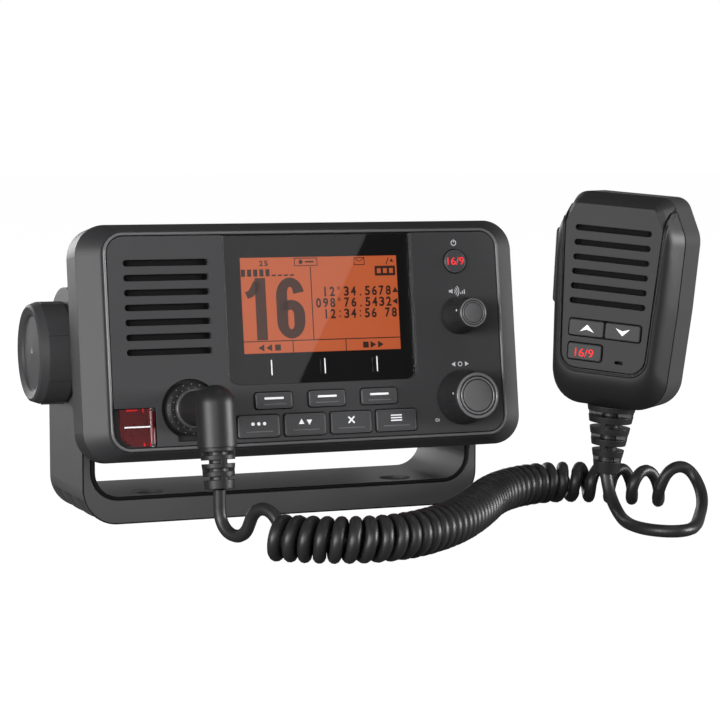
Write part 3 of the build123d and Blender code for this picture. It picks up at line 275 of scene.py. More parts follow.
def jacket(holder, thickness):
    """Turns a curve into a closed round tube."""
    holder.data.bevel_depth = thickness / 2
    holder.data.bevel_resolution = 4
    holder.data.use_fill_caps = True
    select_only(holder)
    bpy.ops.object.convert(target="MESH")
    piece = bpy.context.object
    bpy.ops.object.mode_set(mode="EDIT")
    bpy.ops.mesh.select_all(action="SELECT")
    bpy.ops.mesh.remove_doubles(threshold=0.00001)
    bpy.ops.mesh.normals_make_consistent(inside=False)
    bpy.ops.object.mode_set(mode="OBJECT")
    smooth(50)
    return piece


def length_of(places):
    return sum((b - a).length for a, b in zip(places, places[1:]))


def wound(centre, pitch_at):
    """Left-handed turns about a level centre line, from its rear side to its front side."""
    total = length_of(centre)
    fine = []
    travelled = 0.0
    for a, b in zip(centre, centre[1:]):
        for step in range(12):
            fine.append((travelled + (b - a).length * step / 12, a.lerp(b, step / 12), (b - a).normalized()))
        travelled += (b - a).length
    fine.append((total, centre[-1], (centre[-1] - centre[-2]).normalized()))
    turns = [0.0]
    for (s0, _, _), (s1, _, _) in zip(fine, fine[1:]):
        turns.append(turns[-1] + (s1 - s0) / pitch_at((s0 + s1) / 2, total))
    wanted = round(turns[-1] - 0.5) + 0.5
    turns = [t * wanted / turns[-1] for t in turns]
    places = []
    spot = 0
    for step in range(int(wanted * turn_steps) + 1):
        turn = step / turn_steps
        while turns[spot + 1] < turn and spot < len(turns) - 2:
            spot += 1
        share = (turn - turns[spot]) / (turns[spot + 1] - turns[spot])
        place = fine[spot][1].lerp(fine[spot + 1][1], share)
        along = fine[spot][2].lerp(fine[spot + 1][2], share).normalized()
        rearward_side = Vector((-along.y, along.x, 0))
        angle = -2 * math.pi * turn
        offset = rearward_side * math.cos(angle) + Vector((0, 0, math.sin(angle)))
        places.append(place + offset * turn_radius)
    return places


def coil_pitch(travelled, total):
    """Close turns, a little apart at the plug's end and drawn out towards the handset."""
    first = max(0.0, 1 - travelled / 0.05)
    last = max(0.0, 1 - (total - travelled) / open_stretch)
    return close_pitch + 0.0003 * first + (open_pitch - close_pitch) * last**1.5


rubber, rubber_shade = start_material("cord_rubber")
rubber_cloud = rubber_shade.noise(160.0, 3.0)
rubber_dust = rubber_shade.noise(2600.0, 2.0)
rubber_shade.surface(
    {
        "Base Color": rubber_cloud.blend((0.016, 0.016, 0.017), (0.026, 0.026, 0.027)),
        "Roughness": 0.36 + 0.10 * rubber_cloud,
        "Specular IOR Level": 0.45,
        "Normal": rubber_shade.node("Bump", inputs={"Height": rubber_dust, "Strength": 0.12, "Distance": 0.00004}),
    }
)


def cord_piece(curve, node):
    """A jacketed stretch of the cord, in the place of the node's plain tube."""
    piece = jacket(curve, cord_thickness)
    piece.data.materials.append(rubber)
    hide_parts(node)
    return piece


lead_curve = routed_curve("handset_cord_lead", lead_route)
lead_line = read_line(lead_curve)
cord_lead = cord_piece(lead_curve, "cord_lead")
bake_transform(cord_lead)
length_of(lead_line)

coil_centre = read_line(routed_curve("coil_centre", coil_route))
bpy.data.objects.remove(bpy.data.objects["coil_centre"])
coil_line = wound(coil_centre, coil_pitch)
cord_coil = cord_piece(routed_curve("handset_cord_coil", coil_line, "POLY"), "cord_curl")
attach(cord_coil, "base")
length_of(coil_line)

tail_curve = routed_curve("handset_cord_tail", tail_route)
tail_line = read_line(tail_curve)
cord_tail = cord_piece(tail_curve, "cord_tail")
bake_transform(cord_tail)
length_of(tail_line)


# The mounting bracket: one glass-filled plastic moulding with a fine matt texture.
def moulded(name, dark, light, roughness, grain=2300.0, relief=0.00005, shine=0.3, edge=0.0004):
    """A moulded plastic with a fine texture, a faintly uneven colour and edges softened by the tool."""
    material, shade = start_material(name)
    cloud = shade.noise(38.0, 4.0)
    grit = shade.noise(grain, 2.0, 0.6)
    softened = shade.node("Bevel", {"samples": 4}, {"Radius": edge}, "Normal")
    relief_inputs = {"Height": grit, "Strength": 0.35, "Distance": relief, "Normal": softened}
    shade.surface(
        {
            "Base Color": (0.55 * cloud + 0.45 * grit).blend(dark, light),
            "Roughness": roughness - 0.06 + 0.12 * grit,
            "Specular IOR Level": shine,
            "Normal": shade.node("Bump", inputs=relief_inputs),
        }
    )
    return material


def dress(material, *names):
    for name in names:
        nodes[name].material_slots[0].material = material


dress(moulded("bracket_plastic", (0.056, 0.056, 0.058), (0.082, 0.082, 0.085), 0.46, shine=0.5), "bracket")


# A narrow black tube runs round inside the bracket's front edge, and a finer one outside it: painted shade, dark lines
# where shadow falls along the edge, not a dark part.
def joined(name, *pieces):
    """Joins pieces into the first of them."""
    select_only(*pieces)
    if len(pieces) > 1:
        bpy.ops.object.join()
    bpy.context.object.name = name
    return bpy.context.object


def carry(piece, material, body):
    """Gives a piece its material, the body that it moves with and its material's slot."""
    piece.data.materials.clear()
    piece.data.materials.append(material)
    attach(piece, body)


shade_line_front = -0.0238
shade_line_top = 0.052
quarter_turn = [math.radians(90 * step / 12) for step in range(13)]
painted_shade_tubes = []
for half_width, low, radius, thickness in ((0.0746, 0.0095, 0.010, 0.0014), (0.0784, 0.0003, 0.013, 0.0006)):
    half_line = [(-half_width, shade_line_top)]
    half_line += [
        (radius - half_width - radius * math.cos(t), low + radius - radius * math.sin(t)) for t in quarter_turn
    ]
    whole_line = half_line + [(-x, z) for x, z in reversed(half_line)]
    places = [(x, shade_line_front, z) for x, z in whole_line]
    painted_shade_tubes.append(jacket(routed_curve("bracket_line", places, "POLY"), thickness))
# the tubes' near-black is painted shade
painted_groove_shade = moulded("painted_groove_shade", (0.004, 0.004, 0.0043), (0.008, 0.008, 0.0085), 0.7, shine=0.1)
carry(joined("bracket_painted_shade", *painted_shade_tubes), painted_groove_shade, "base")


# The two thumb knobs that clamp the radio: hard rubber over a steel stud.
grip = moulded("grip_rubber", (0.044, 0.044, 0.046), (0.060, 0.060, 0.063), 0.52, shine=0.25)
dress(grip, "thumb_knob_left", "thumb_knob_right")


def machined(name, colour, roughness):
    """Turned metal with fine marks."""
    material, shade = start_material(name)
    marks = shade.noise(900.0, 3.0)
    shade.surface(
        {
            "Base Color": marks.blend(tuple(0.85 * c for c in colour), colour),
            "Metallic": 1.0,
            "Roughness": roughness - 0.08 + 0.16 * marks,
        }
    )
    return material


steel = machined("stud_steel", (0.60, 0.60, 0.62), 0.32)
brass = machined("insert_brass", (0.72, 0.55, 0.28), 0.35)
plated = machined("plated_metal", (0.72, 0.72, 0.74), 0.22)
dress(steel, "knob_stud_left", "knob_stud_right", "housing_screws", "handset_screws", "cover_pin")
dress(steel, "volume_shaft", "select_shaft", "volume_plunger", "select_plunger")
dress(brass, "pivot_inserts", "volume_encoder", "select_encoder")


# The front bezel: a satin black moulding, screwed to the chassis from behind. The panel that lies
# in it carries the speaker slots, the window, the keys and the knobs, and is printed in white.
bezel_plastic = moulded("bezel_plastic", (0.026, 0.026, 0.028), (0.038, 0.038, 0.040), 0.46, shine=0.38)
panel_plastic = moulded("panel_plastic", (0.046, 0.046, 0.048), (0.062, 0.062, 0.065), 0.58, shine=0.25)
soft_black = moulded("seal_rubber", (0.010, 0.010, 0.011), (0.018, 0.018, 0.019), 0.7)
dress(bezel_plastic, "front_bezel")
dress(panel_plastic, "face_panel", "distress_well")
dress(soft_black, "housing_gasket", "friction_washers", "keypad_mat", "speaker_driver", "handset_speaker")

face_lean = math.radians(8)
face_across = Vector((1, 0, 0))
face_up = Vector((0, math.sin(face_lean), math.cos(face_lean)))
face_outward = Vector((0, -math.cos(face_lean), math.sin(face_lean)))
face_centre = Vector((0, 0, 0.062)) + 0.052 * face_outward


def plane_at(centre, across, up, outward):
    """The matrix that takes flat work to its place: X across, Y up, Z out of the surface."""
    turned = Matrix((across, up, outward)).transposed().to_4x4()
    return Matrix.Translation(centre) @ turned


face = plane_at(face_centre, face_across, face_up, face_outward)


# The bezel's raised lip round the panel ends in a fine rounded bead, pale grey against the black bezel as a painted
# highlight.
def rounded_rectangle(width, height, radius, steps=12):
    """Points round a rectangle with rounded corners, in metres, anticlockwise."""
    points = []
    corners = ((1, 1, 0), (-1, 1, 90), (-1, -1, 180), (1, -1, 270))
    for across, upward, first in corners:
        middle = (across * (width / 2 - radius), upward * (height / 2 - radius))
        for step in range(steps + 1):
            angle = math.radians(first + 90 * step / steps)
            points.append((middle[0] + radius * math.cos(angle), middle[1] + radius * math.sin(angle)))
    return points


def settle(piece, plane=None):
    """Leaves a piece's place in its mesh, after moving it onto a plane where one is given."""
    if plane is not None:
        piece.matrix_world = plane
    bpy.ops.object.transform_apply(location=True, rotation=True, scale=True)
    return piece


def bead(name, points, height, thickness):
    """A fine round bead along a closed line that lies at height above the face."""
    line = routed_curve(name, [(x, y, height) for x, y in points], "POLY")
    line.data.splines[0].use_cyclic_u = True
    return settle(jacket(line, thickness), face)


bezel_lip = bead("bezel_lip", rounded_rectangle(0.1523, 0.0765, 0.0069), -0.00028, 0.0011)
# the bead's pale grey is a painted highlight, not the bezel's own colour
lip_painted_highlight = moulded("lip_painted_highlight", (0.12, 0.12, 0.124), (0.15, 0.15, 0.155), 0.34, shine=0.6)
carry(bezel_lip, lip_painted_highlight, "radio")


# The symbols printed on the panel in pale ink: power, volume, select and the microphone's port.
# A print is flat work in millimetres, laid on a plane and given the thickness of its ink.
def bar(x, y, width, height, lean=0.0):
    """A flat bar: its middle, its width and its height."""
    bpy.ops.mesh.primitive_plane_add(size=1, location=(x / 1000, y / 1000, 0), rotation=(0, 0, math.radians(lean)))
    shape = bpy.context.object
    shape.scale = (width / 1000, height / 1000, 1)
    return settle(shape)


def disc(x, y, radius, corners=28, turn=0.0):
    """A flat disc, or with three corners a triangle whose tip is at the turn given."""
    bpy.ops.mesh.primitive_circle_add(
        vertices=corners,
        radius=radius / 1000,
        fill_type="NGON",
        location=(x / 1000, y / 1000, 0),
        rotation=(0, 0, math.radians(turn)),
    )
    return settle(bpy.context.object)


def arc(x, y, radius, width, first=0.0, last=360.0):
    """A flat ring, or the part of one between two angles."""
    bpy.ops.mesh.primitive_plane_add(size=1, location=(0, 0, 0))
    shape = bpy.context.object
    ring = bmesh.new()
    start, sweep = math.radians(first), math.radians(last - first)
    steps = max(6, int(abs(last - first) / 9))
    edges = (radius - width / 2, radius + width / 2)
    ends = [ring.verts.new((edge * math.cos(start), edge * math.sin(start), 0)) for edge in edges]
    across = ring.edges.new(ends)
    bmesh.ops.spin(ring, geom=[*ends, across], cent=(0, 0, 0), axis=(0, 0, 1), angle=sweep, steps=steps)
    bmesh.ops.remove_doubles(ring, verts=ring.verts, dist=0.001)
    bmesh.ops.scale(ring, vec=(0.001, 0.001, 0.001), verts=ring.verts)
    bmesh.ops.translate(ring, vec=(x / 1000, y / 1000, 0), verts=ring.verts)
    ring.to_mesh(shape.data)
    ring.free()
    return shape


def digits(text, left, low, width, height, weight=0.0):
    """Plain digits that fill a box."""
    bpy.ops.object.text_add(location=(0, 0, 0))
    shape = bpy.context.object
    shape.data.body = text
    shape.data.offset = weight
    shape.data.resolution_u = 6
    select_only(shape)
    bpy.ops.object.convert(target="MESH")
    shape = bpy.context.object
    across = [vertex.co.x for vertex in shape.data.vertices]
    upward = [vertex.co.y for vertex in shape.data.vertices]
    widen = width / 1000 / (max(across) - min(across))
    heighten = height / 1000 / (max(upward) - min(upward))
    shape.scale = (widen, heighten, 1)
    shape.location = (left / 1000 - min(across) * widen, low / 1000 - min(upward) * heighten, 0)
    return settle(shape)


def printed(name, shapes, plane, height, material, body, thickness=0.015):
    """Joins flat shapes into one thin raised print that lies at height above the plane."""
    piece = joined(name, *shapes)
    bpy.ops.object.mode_set(mode="EDIT")
    bpy.ops.mesh.select_all(action="SELECT")
    bpy.ops.mesh.remove_doubles(threshold=0.000002)
    bpy.ops.mesh.normals_make_consistent(inside=False)
    bpy.ops.object.mode_set(mode="OBJECT")
    for polygon in piece.data.polygons:
        if polygon.normal.z < 0:
            polygon.flip()
    solid = piece.modifiers.new("thickness", "SOLIDIFY")
    solid.thickness = thickness / 1000
    solid.offset = -1
    bpy.ops.object.modifier_apply(modifier=solid.name)
    settle(piece, plane @ Matrix.Translation((0, 0, (height + thickness) / 1000)))
    carry(piece, material, body)


def ink(name, colour, roughness=0.5, painted_glow=0.0):
    """A printed mark, a little uneven in strength. It glows a little: painted light that brightens the print."""
    material, shade = start_material(name)
    grains = shade.noise(5200.0, 2.0)
    uneven = grains.blend(tuple(0.86 * c for c in colour), colour)
    shade.surface(
        {
            "Base Color": uneven,
            "Roughness": roughness - 0.05 + 0.1 * grains,
            "Specular IOR Level": 0.4,
            "Emission Color": uneven,
            "Emission Strength": painted_glow,
        }
    )
    return material


# each ink's glow is painted light: nothing lights the print from behind
label_ink = ink("label_ink", (0.70, 0.70, 0.72), painted_glow=0.10)
white_ink = ink("white_ink", (0.88, 0.88, 0.90), painted_glow=0.42)
power_symbol = [arc(58.5, 33.3, 0.95, 0.3, -245, 65), bar(58.5, 34.0, 0.3, 1.2)]
volume_symbol = [disc(56.6, 15.2, 1.0, 3, 90), bar(56.0, 15.2, 0.8, 0.9)]
volume_symbol += [arc(57.2, 15.2, 1.0 + 0.75 * n, 0.28, -48, 48) for n in (0, 1, 2)]
volume_symbol += [bar(60.4 + 0.75 * n, 14.45 + 0.25 * n, 0.36, 0.6 + 0.5 * n) for n in (0, 1, 2)]
select_symbol = [disc(56.1, -12.0, 1.0, 3, 90), disc(61.1, -12.0, 1.0, 3, -90), arc(58.6, -12.0, 0.75, 0.3)]
speech_symbol = [arc(48.0, -32.5, 0.5, 0.22), bar(48.9, -32.5, 0.22, 1.1)]
face_symbols = power_symbol + volume_symbol + select_symbol + speech_symbol
printed("face_symbols", face_symbols, face, 0.0, label_ink, "radio")


# The display: a clear acrylic window, printed black on its back round the opening, with the soft
# keys' ticks in white. Behind it lies the orange backlit panel and its dark dot segments.
def rounded_block(name, middle, size, plane, corner, softening, low_corners_only=False):
    """A block in millimetres. Its upright corners are rounded, then its top edge, each by (radius, steps)."""
    bpy.ops.mesh.primitive_cube_add(size=1, location=[part / 1000 for part in middle])
    piece = bpy.context.object
    piece.name = name
    piece.scale = [part / 1000 for part in size]
    settle(piece)
    bpy.ops.object.mode_set(mode="EDIT")
    bpy.ops.mesh.select_mode(type="EDGE")
    shape = bmesh.from_edit_mesh(piece.data)
    for edge in shape.edges:
        a, b = (vertex.co for vertex in edge.verts)
        upright = abs(a.z - b.z) > 0.5 * size[2] / 1000
        edge.select = upright and (a.y < middle[1] / 1000 or not low_corners_only)
    bmesh.update_edit_mesh(piece.data)
    bpy.ops.mesh.bevel(offset=corner[0] / 1000, segments=corner[1])
    top = middle[2] + size[2] / 2
    for edge in shape.edges:
        edge.select = all(vertex.co.z > (top - 0.001) / 1000 for vertex in edge.verts)
    bmesh.update_edit_mesh(piece.data)
    bpy.ops.mesh.bevel(offset=softening[0] / 1000, segments=softening[1])
    bpy.ops.mesh.select_all(action="SELECT")
    bpy.ops.mesh.normals_make_consistent(inside=False)
    bpy.ops.object.mode_set(mode="OBJECT")
    return settle(piece, plane)


window_middle = 4.5
window_width = 73.4
window_height = 54.1
window_depth = 2.2
window_low = -16.86
glass, glass_shade = start_material("window_glass")
glass_smear = glass_shade.noise(30.0, 3.0)
glass_gloss = glass_shade.node("BsdfGlossy", inputs={"Color": (1, 1, 1, 1), "Roughness": 0.003 + 0.005 * glass_smear})
glass_clear = glass_shade.node("BsdfTransparent", inputs={"Color": (1, 1, 1, 1)})
# the gloss rises towards a slanting view, by the same share on both sides of the sheet
glass_facing = glass_shade.node("LayerWeight", inputs={"Blend": 0.5}, output="Facing")
glass_edge = 0.042 + 0.95 * glass_facing.sum("POWER", glass_facing, 5.0)
glass_shade.surface({0: glass_edge, 1: glass_clear, 2: glass_gloss}, "MixShader")
window_place = (window_middle, window_low + window_height / 2, -window_depth / 2)
window_size = (window_width, window_height, window_depth)
window = rounded_block("display_glass", window_place, window_size, face, (4.0, 10), (0.2, 2), low_corners_only=True)
smooth(15)
window.data.materials.append(glass)
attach(window, "radio")
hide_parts("display_window")

mask_black = moulded("mask_black", (0.003, 0.003, 0.0032), (0.005, 0.005, 0.0055), 0.8, relief=0.00001, shine=0.1)
mask_left, mask_right = window_middle - 36.6, window_middle + 36.6
mask_low, mask_high = window_low + 0.1, window_low + window_height - 0.1
open_left, open_right, open_low, open_high = -25.2, 36.2, -5.5, 29.3
mask_bars = [
    bar((mask_left + open_left) / 2, (mask_low + mask_high) / 2, open_left - mask_left, mask_high - mask_low),
    bar((open_right + mask_right) / 2, (mask_low + mask_high) / 2, mask_right - open_right, mask_high - mask_low),
    bar((open_left + open_right) / 2, (mask_low + open_low) / 2, open_right - open_left, open_low - mask_low),
    bar((open_left + open_right) / 2, (open_high + mask_high) / 2, open_right - open_left, mask_high - open_high),
]
printed("display_mask", mask_bars, face, -2.9, mask_black, "radio", 0.6)
ticks = [bar(x, -10.8, 0.42, 5.5) for x in (-15.85, 4.75, 25.25)]
printed("window_ticks", ticks, face, 0.0, white_ink, "radio")

panel_light, lit = start_material("display_panel")
lit_spread = lit.noise(24.0, 1.0)
lit_place = lit.node("TexCoord", output="Object")
lit_cells = lit.node("TexVoronoi", inputs={"Vector": lit_place, "Scale": 2600.0}, output="Distance")
lit_share = lit_spread.sum("MULTIPLY_ADD", lit_spread, 0.6, lit_cells * 0.35)
lit.surface(
    {
        "Base Color": (0.055, 0.014, 0.006, 1),
        "Roughness": 0.45,
        "Emission Color": lit_share.blend((0.40, 0.068, 0.0145), (0.50, 0.096, 0.022)),
        "Emission Strength": 1.0,
    }
)
dress(panel_light, "display_module")


def dot_digits(text, left, low, pitch, width, height):
    """A row of characters on the display's even pitch: digits, stops, colons and degree rings."""
    shapes = []
    for number, character in enumerate(text):
        start = left + pitch * number
        middle = start + width / 2
        if character == ".":
            shapes.append(bar(middle, low + 0.3, 0.62, 0.6))
        elif character == ":":
            shapes += [bar(middle, low + 0.75, 0.55, 0.55), bar(middle, low + height - 0.95, 0.55, 0.55)]
        elif character == "o":
            shapes.append(arc(middle - 0.2, low + height - 0.6, 0.45, 0.28))
        elif character != " ":
            narrow = 0.32 if character == "1" else 1.0
            shapes.append(digits(character, middle - width * narrow / 2, low, width * narrow, height, 0.03))
    return shapes


def stroke(points, widths):
    """A flat ribbon along points, with the width given at each."""
    bpy.ops.mesh.primitive_plane_add(size=1, location=(0, 0, 0))
    shape = bpy.context.object
    bpy.ops.object.mode_set(mode="EDIT")
    ribbon = bmesh.from_edit_mesh(shape.data)
    bmesh.ops.delete(ribbon, geom=ribbon.verts, context="VERTS")
    pairs = []
    for number, (x, y) in enumerate(points):
        before, after = points[max(0, number - 1)], points[min(len(points) - 1, number + 1)]
        along = Vector((after[0] - before[0], after[1] - before[1], 0)).normalized()
        aside = Vector((-along.y, along.x, 0)) * widths[number] / 2000
        middle = Vector((x / 1000, y / 1000, 0))
        pairs.append((ribbon.verts.new(middle + aside), ribbon.verts.new(middle - aside)))
    for (a, b), (c, d) in zip(pairs, pairs[1:]):
        ribbon.faces.new((a, b, d, c))
    bmesh.update_edit_mesh(shape.data)
    bpy.ops.object.mode_set(mode="OBJECT")
    return shape


def oval_points(x, y, wide, high, first, last, steps=14):
    angles = [math.radians(first + (last - first) * n / steps) for n in range(steps + 1)]
    return [(x + wide * math.cos(angle), y + high * math.sin(angle)) for angle in angles]


segment_ink = ink("segment_ink", (0.032, 0.009, 0.004), 0.7)
number_ink = ink("number_ink", (0.060, 0.014, 0.004), 0.7)
screen = face @ Matrix.Translation((0.0012, 0, 0))
segment_height, segment_thickness = -3.0, 0.03
one_stem = stroke([(-18.9, -0.7), (-18.9, 21.9)], [4.1, 4.1])
one_flag = stroke([(-24.3, 15.6), (-22.6, 16.3), (-21.0, 18.1), (-20.0, 20.3)], [2.6, 2.8, 3.2, 3.0])
six_top = oval_points(-7.5, 15.6, 3.3, 4.6, 8, 180)
six_left = [(-10.8, 14.0 - 1.6 * n) for n in range(5)]
six_low = oval_points(-7.5, 5.6, 3.3, 4.3, 180, 360)
six_bowl = oval_points(-7.5, 8.3, 3.3, 3.6, 0, 150)
oval_widths = [4.3 - 0.9 * math.sin(math.pi * n / (len(six_top) - 1)) for n in range(len(six_top))]
bowl_widths = [4.3 - 1.1 * n / (len(six_bowl) - 1) for n in range(len(six_bowl))]
six_widths = oval_widths + [4.3] * len(six_left) + oval_widths + bowl_widths
channel = [one_stem, one_flag, stroke(six_top + six_left + six_low + six_bowl, six_widths)]
printed("display_channel", channel, screen, segment_height, number_ink, "radio", segment_thickness)
rows = dot_digits("12o34.5678", 5.2, 14.7, 2.78, 2.0, 3.5) + [disc(34.0, 16.3, 1.35, 3, 0)]
rows += dot_digits("098o76.5432", 2.4, 10.6, 2.78, 2.0, 3.5) + [disc(34.0, 12.3, 1.35, 3, 90)]
rows += dot_digits("12:34:56 78", 5.2, 6.5, 2.70, 2.0, 3.5)
rows += dot_digits("25", -18.8, 26.2, 1.9, 1.35, 2.0)
lines = [bar(0.9, 12.4, 0.36, 26.6), bar(4.9, -1.1, 62.6, 0.36)]
lines += [bar(x, -3.35, 0.36, 4.1) for x in (-7.3, 13.4)]
signal_bars = [bar(-25.2 + 2.35 * n, 23.75, 1.55, 2.6) for n in range(5)]
signal_bars += [bar(-25.2 + 2.35 * n, 22.75, 1.55, 0.6) for n in range(5, 9)]
link_frame = [bar(-0.8, y, 9.0, 0.3) for y in (28.85, 26.1)] + [bar(x, 27.5, 0.3, 2.5) for x in (-5.2, 3.6)]
link_frame += [disc(-2.8, 27.5, 0.8), bar(0.6, 27.5, 3.4, 0.6)]
letter_frame = [bar(20.2, y, 4.2, 0.28) for y in (28.7, 26.1)] + [bar(x, 27.4, 0.28, 2.3) for x in (18.2, 22.2)]
letter_frame += [bar(19.25, 27.9, 2.0, 0.28, -38), bar(21.15, 27.9, 2.0, 0.28, 38)]
satellite = [bar(31.4, 27.3, 0.34, 2.8, -22), disc(33.1, 27.4, 0.85, 3, 0)]
battery = [bar(30.3, y, 8.1, 0.9) for y in (25.05, 22.35)]
battery += [bar(26.65 + 2.43 * n, 23.7, 0.9, 1.8) for n in range(4)]
soft_arrows = [disc(x, -3.5, 1.5, 3, turn) for x, turn in ((-19.2, 90), (-16.2, 90), (23.8, -90), (26.8, -90))]
soft_arrows += [bar(x, -3.5, 2.2, 2.2) for x in (-13.2, 21.2)]
display_marks = rows + lines + signal_bars + link_frame + letter_frame + satellite + battery + soft_arrows
printed("display_segments", display_marks, screen, segment_height, segment_ink, "radio", segment_thickness)


# Sound slots: a black mesh cloth lies a little way down in each slot and keeps spray out.
cloth, cloth_shade = start_material("sound_cloth")
cloth_place = cloth_shade.node("TexCoord", output="Object")
threads = {"Vector": cloth_place, "Scale": 900.0}
upright_threads, level_threads = (cloth_shade.node("TexWave", {"bands_direction": way}, threads) for way in "XZ")
weave = upright_threads * level_threads
cloth_shade.surface(
    {
        "Base Color": weave.blend((0.003, 0.003, 0.0033), (0.009, 0.009, 0.0095)),
        "Roughness": 0.8,
        "Specular IOR Level": 0.15,
        "Normal": cloth_shade.node("Bump", inputs={"Height": weave, "Strength": 0.6, "Distance": 0.0001}),
    }
)


def slot_pads(name, plane, body, x, top, pitch, count, length, height, depth):
    """One thin pad of cloth in each of a row of round-ended slots."""
    run = length - height
    shapes = []
    for number in range(count):
        y = top - pitch * number
        shapes += [bar(x, y, run, height), disc(x - run / 2, y, height / 2), disc(x + run / 2, y, height / 2)]
    printed(name, shapes, plane, depth, cloth, body, thickness=0.2)


slot_pads("speaker_cloth", face, "radio", -53.7, 12.0 + 3 * 5.28, 5.28, 7, 31.7, 2.1, -2.3)


# The keys: firm rubber caps that stand a little proud of the panel. Each soft key has a white
# bar and a thin moulded ridge, each lower key a printed symbol and a ridge. The ridges and the
# fine rims round the key tops are paler than the keys: painted highlights.
key_rubber = moulded("key_rubber", (0.052, 0.052, 0.055), (0.072, 0.072, 0.076), 0.45, shine=0.5, edge=0.0007)
ridge_painted_highlight = moulded("ridge_painted_highlight", (0.15, 0.15, 0.155), (0.19, 0.19, 0.195), 0.38, shine=0.6)
dress(key_rubber, *[f"soft_key_{n}" for n in (1, 2, 3)], *[f"function_key_{n}" for n in (1, 2, 3, 4)])
dress(key_rubber, "power_button")
rim_painted_highlight = moulded("rim_painted_highlight", (0.10, 0.10, 0.105), (0.13, 0.13, 0.135), 0.36, shine=0.6)


def round_edges(piece, width, segments):
    """Rounds every edge of the selected piece."""
    rounding = piece.modifiers.new("rounding", "BEVEL")
    rounding.width = width
    rounding.segments = segments
    bpy.ops.object.modifier_apply(modifier=rounding.name)


def key_ridge(name, x, y, width, body):
    """A low rounded ridge on a key's top, paler than the key as a painted highlight."""
    bpy.ops.mesh.primitive_cube_add(size=1, location=(x / 1000, y / 1000, 0.00070))
    ridge = bpy.context.object
    ridge.name = name
    ridge.scale = (width / 1000, 0.0005, 0.0007)
    settle(ridge)
    round_edges(ridge, 0.0002, 3)
    settle(ridge, face)
    smooth(40)
    carry(ridge, ridge_painted_highlight, body)


def key_rim(name, x, y, width, height, radius, body):
    """The fine rounded edge of a key's top, paler than the key as a painted highlight."""
    points = rounded_rectangle(width / 1000, height / 1000, radius / 1000, 6)
    rim = bead(name, [(x / 1000 + a, y / 1000 + b) for a, b in points], 0.00052, 0.00036)
    carry(rim, rim_painted_highlight, body)


key_top = 0.7
soft_row = -22.7
for number, x in enumerate((-15.8, 4.7, 25.2), start=1):
    body = f"soft_{number}"
    key_rim(f"soft_key_rim_{number}", x, soft_row, 13.6, 5.4, 0.8, body)
    marks = [bar(x, soft_row + 0.8, 7.3, 0.75)]
    printed(f"soft_key_bar_{number}", marks, face, key_top, white_ink, body)
    key_ridge(f"soft_key_ridge_{number}", x, soft_row - 1.4, 9.0, body)

function_symbols = {
    1: lambda x, y: [disc(x - 2.2, y, 0.62), disc(x, y, 0.62), disc(x + 2.2, y, 0.62)],
    2: lambda x, y: [disc(x - 1.5, y - 0.1, 1.25, 3, 0), disc(x + 1.5, y + 0.1, 1.25, 3, 180)],
    3: lambda x, y: [bar(x, y, 3.3, 0.6, 45), bar(x, y, 3.3, 0.6, -45)],
    4: lambda x, y: [bar(x, y + rise, 4.4, 0.45) for rise in (0.95, 0, -0.95)],
}
function_row = -31.8
for number, x in enumerate((-22.1, -4.2, 13.7, 31.5), start=1):
    body = f"function_{number}"
    key_rim(f"function_key_rim_{number}", x, function_row, 15.35, 7.5, 0.8, body)
    marks = function_symbols[number](x, function_row + 0.9)
    printed(f"function_key_symbol_{number}", marks, face, key_top, white_ink, body)
    key_ridge(f"function_key_ridge_{number}", x, function_row - 2.0, 10.6, body)

key_rim("power_button_rim", 58.6, 26.4, 8.2, 8.2, 4.1, "power")
red_ink = ink("red_ink", (0.85, 0.030, 0.036), painted_glow=0.75)
power_digits = digits("16/9", 55.4, 25.0, 6.7, 2.9, 0.004)
printed("power_button_digits", [power_digits], face, key_top, red_ink, "power")


# The two rotary controls: rubber-coated knobs with a ring groove in the front, fine ribs along
# the side and a white pointer dot. Each turns on a steel shaft and can be pressed.
knob_rubber = moulded("control_rubber", (0.017, 0.017, 0.018), (0.026, 0.026, 0.028), 0.46)
cap_rubber = moulded("cap_rubber", (0.115, 0.115, 0.118), (0.15, 0.15, 0.154), 0.4, shine=0.5)
# the beads' pale grey stands for the glints round the knob's front groove: painted highlights
bead_painted_highlight = moulded("bead_painted_highlight", (0.15, 0.15, 0.154), (0.19, 0.19, 0.195), 0.26, shine=0.8)
dress(knob_rubber, "volume_knob", "select_knob")
cap_height = 0.01445


def knob_cap(name, plane, radius, body):
    """A shallow domed cap in the knob's front, with two rounded beads round it whose pale colour is a painted
    highlight.
    """
    bpy.ops.mesh.primitive_cylinder_add(
        vertices=64, radius=0.67 * radius / 1000, depth=0.0003, location=(0, 0, cap_height)
    )
    cap = settle(bpy.context.object)
    cap.data.materials.append(cap_rubber)
    round_edges(cap, 0.00014, 3)
    beads = []
    for share, thickness in ((0.755, 0.05), (0.915, 0.07)):
        bpy.ops.mesh.primitive_torus_add(
            major_radius=share * radius / 1000,
            minor_radius=thickness * radius / 1000,
            major_segments=64,
            minor_segments=12,
            location=(0, 0, cap_height),
        )
        ring = bpy.context.object
        ring.scale = (1, 1, 0.6)
        settle(ring)
        ring.data.materials.append(bead_painted_highlight)
        beads.append(ring)
    cap = settle(joined(name, cap, *beads), plane)
    smooth(35)
    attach(cap, body)


def pointer_dot(name, plane, radius, height, body):
    """A small pale dot on the knob's side, near the front, that shows how far it is turned."""
    bpy.ops.mesh.primitive_uv_sphere_add(segments=16, ring_count=8, radius=0.0004, location=(0, 0, 0))
    dot = bpy.context.object
    dot.name = name
    dot.scale = (0.5, 1, 1)
    dot.location = (-radius / 1000, 0.0012, height / 1000)
    settle(dot)
    bpy.ops.object.shade_smooth()
    settle(dot, plane)
    carry(dot, label_ink, body)


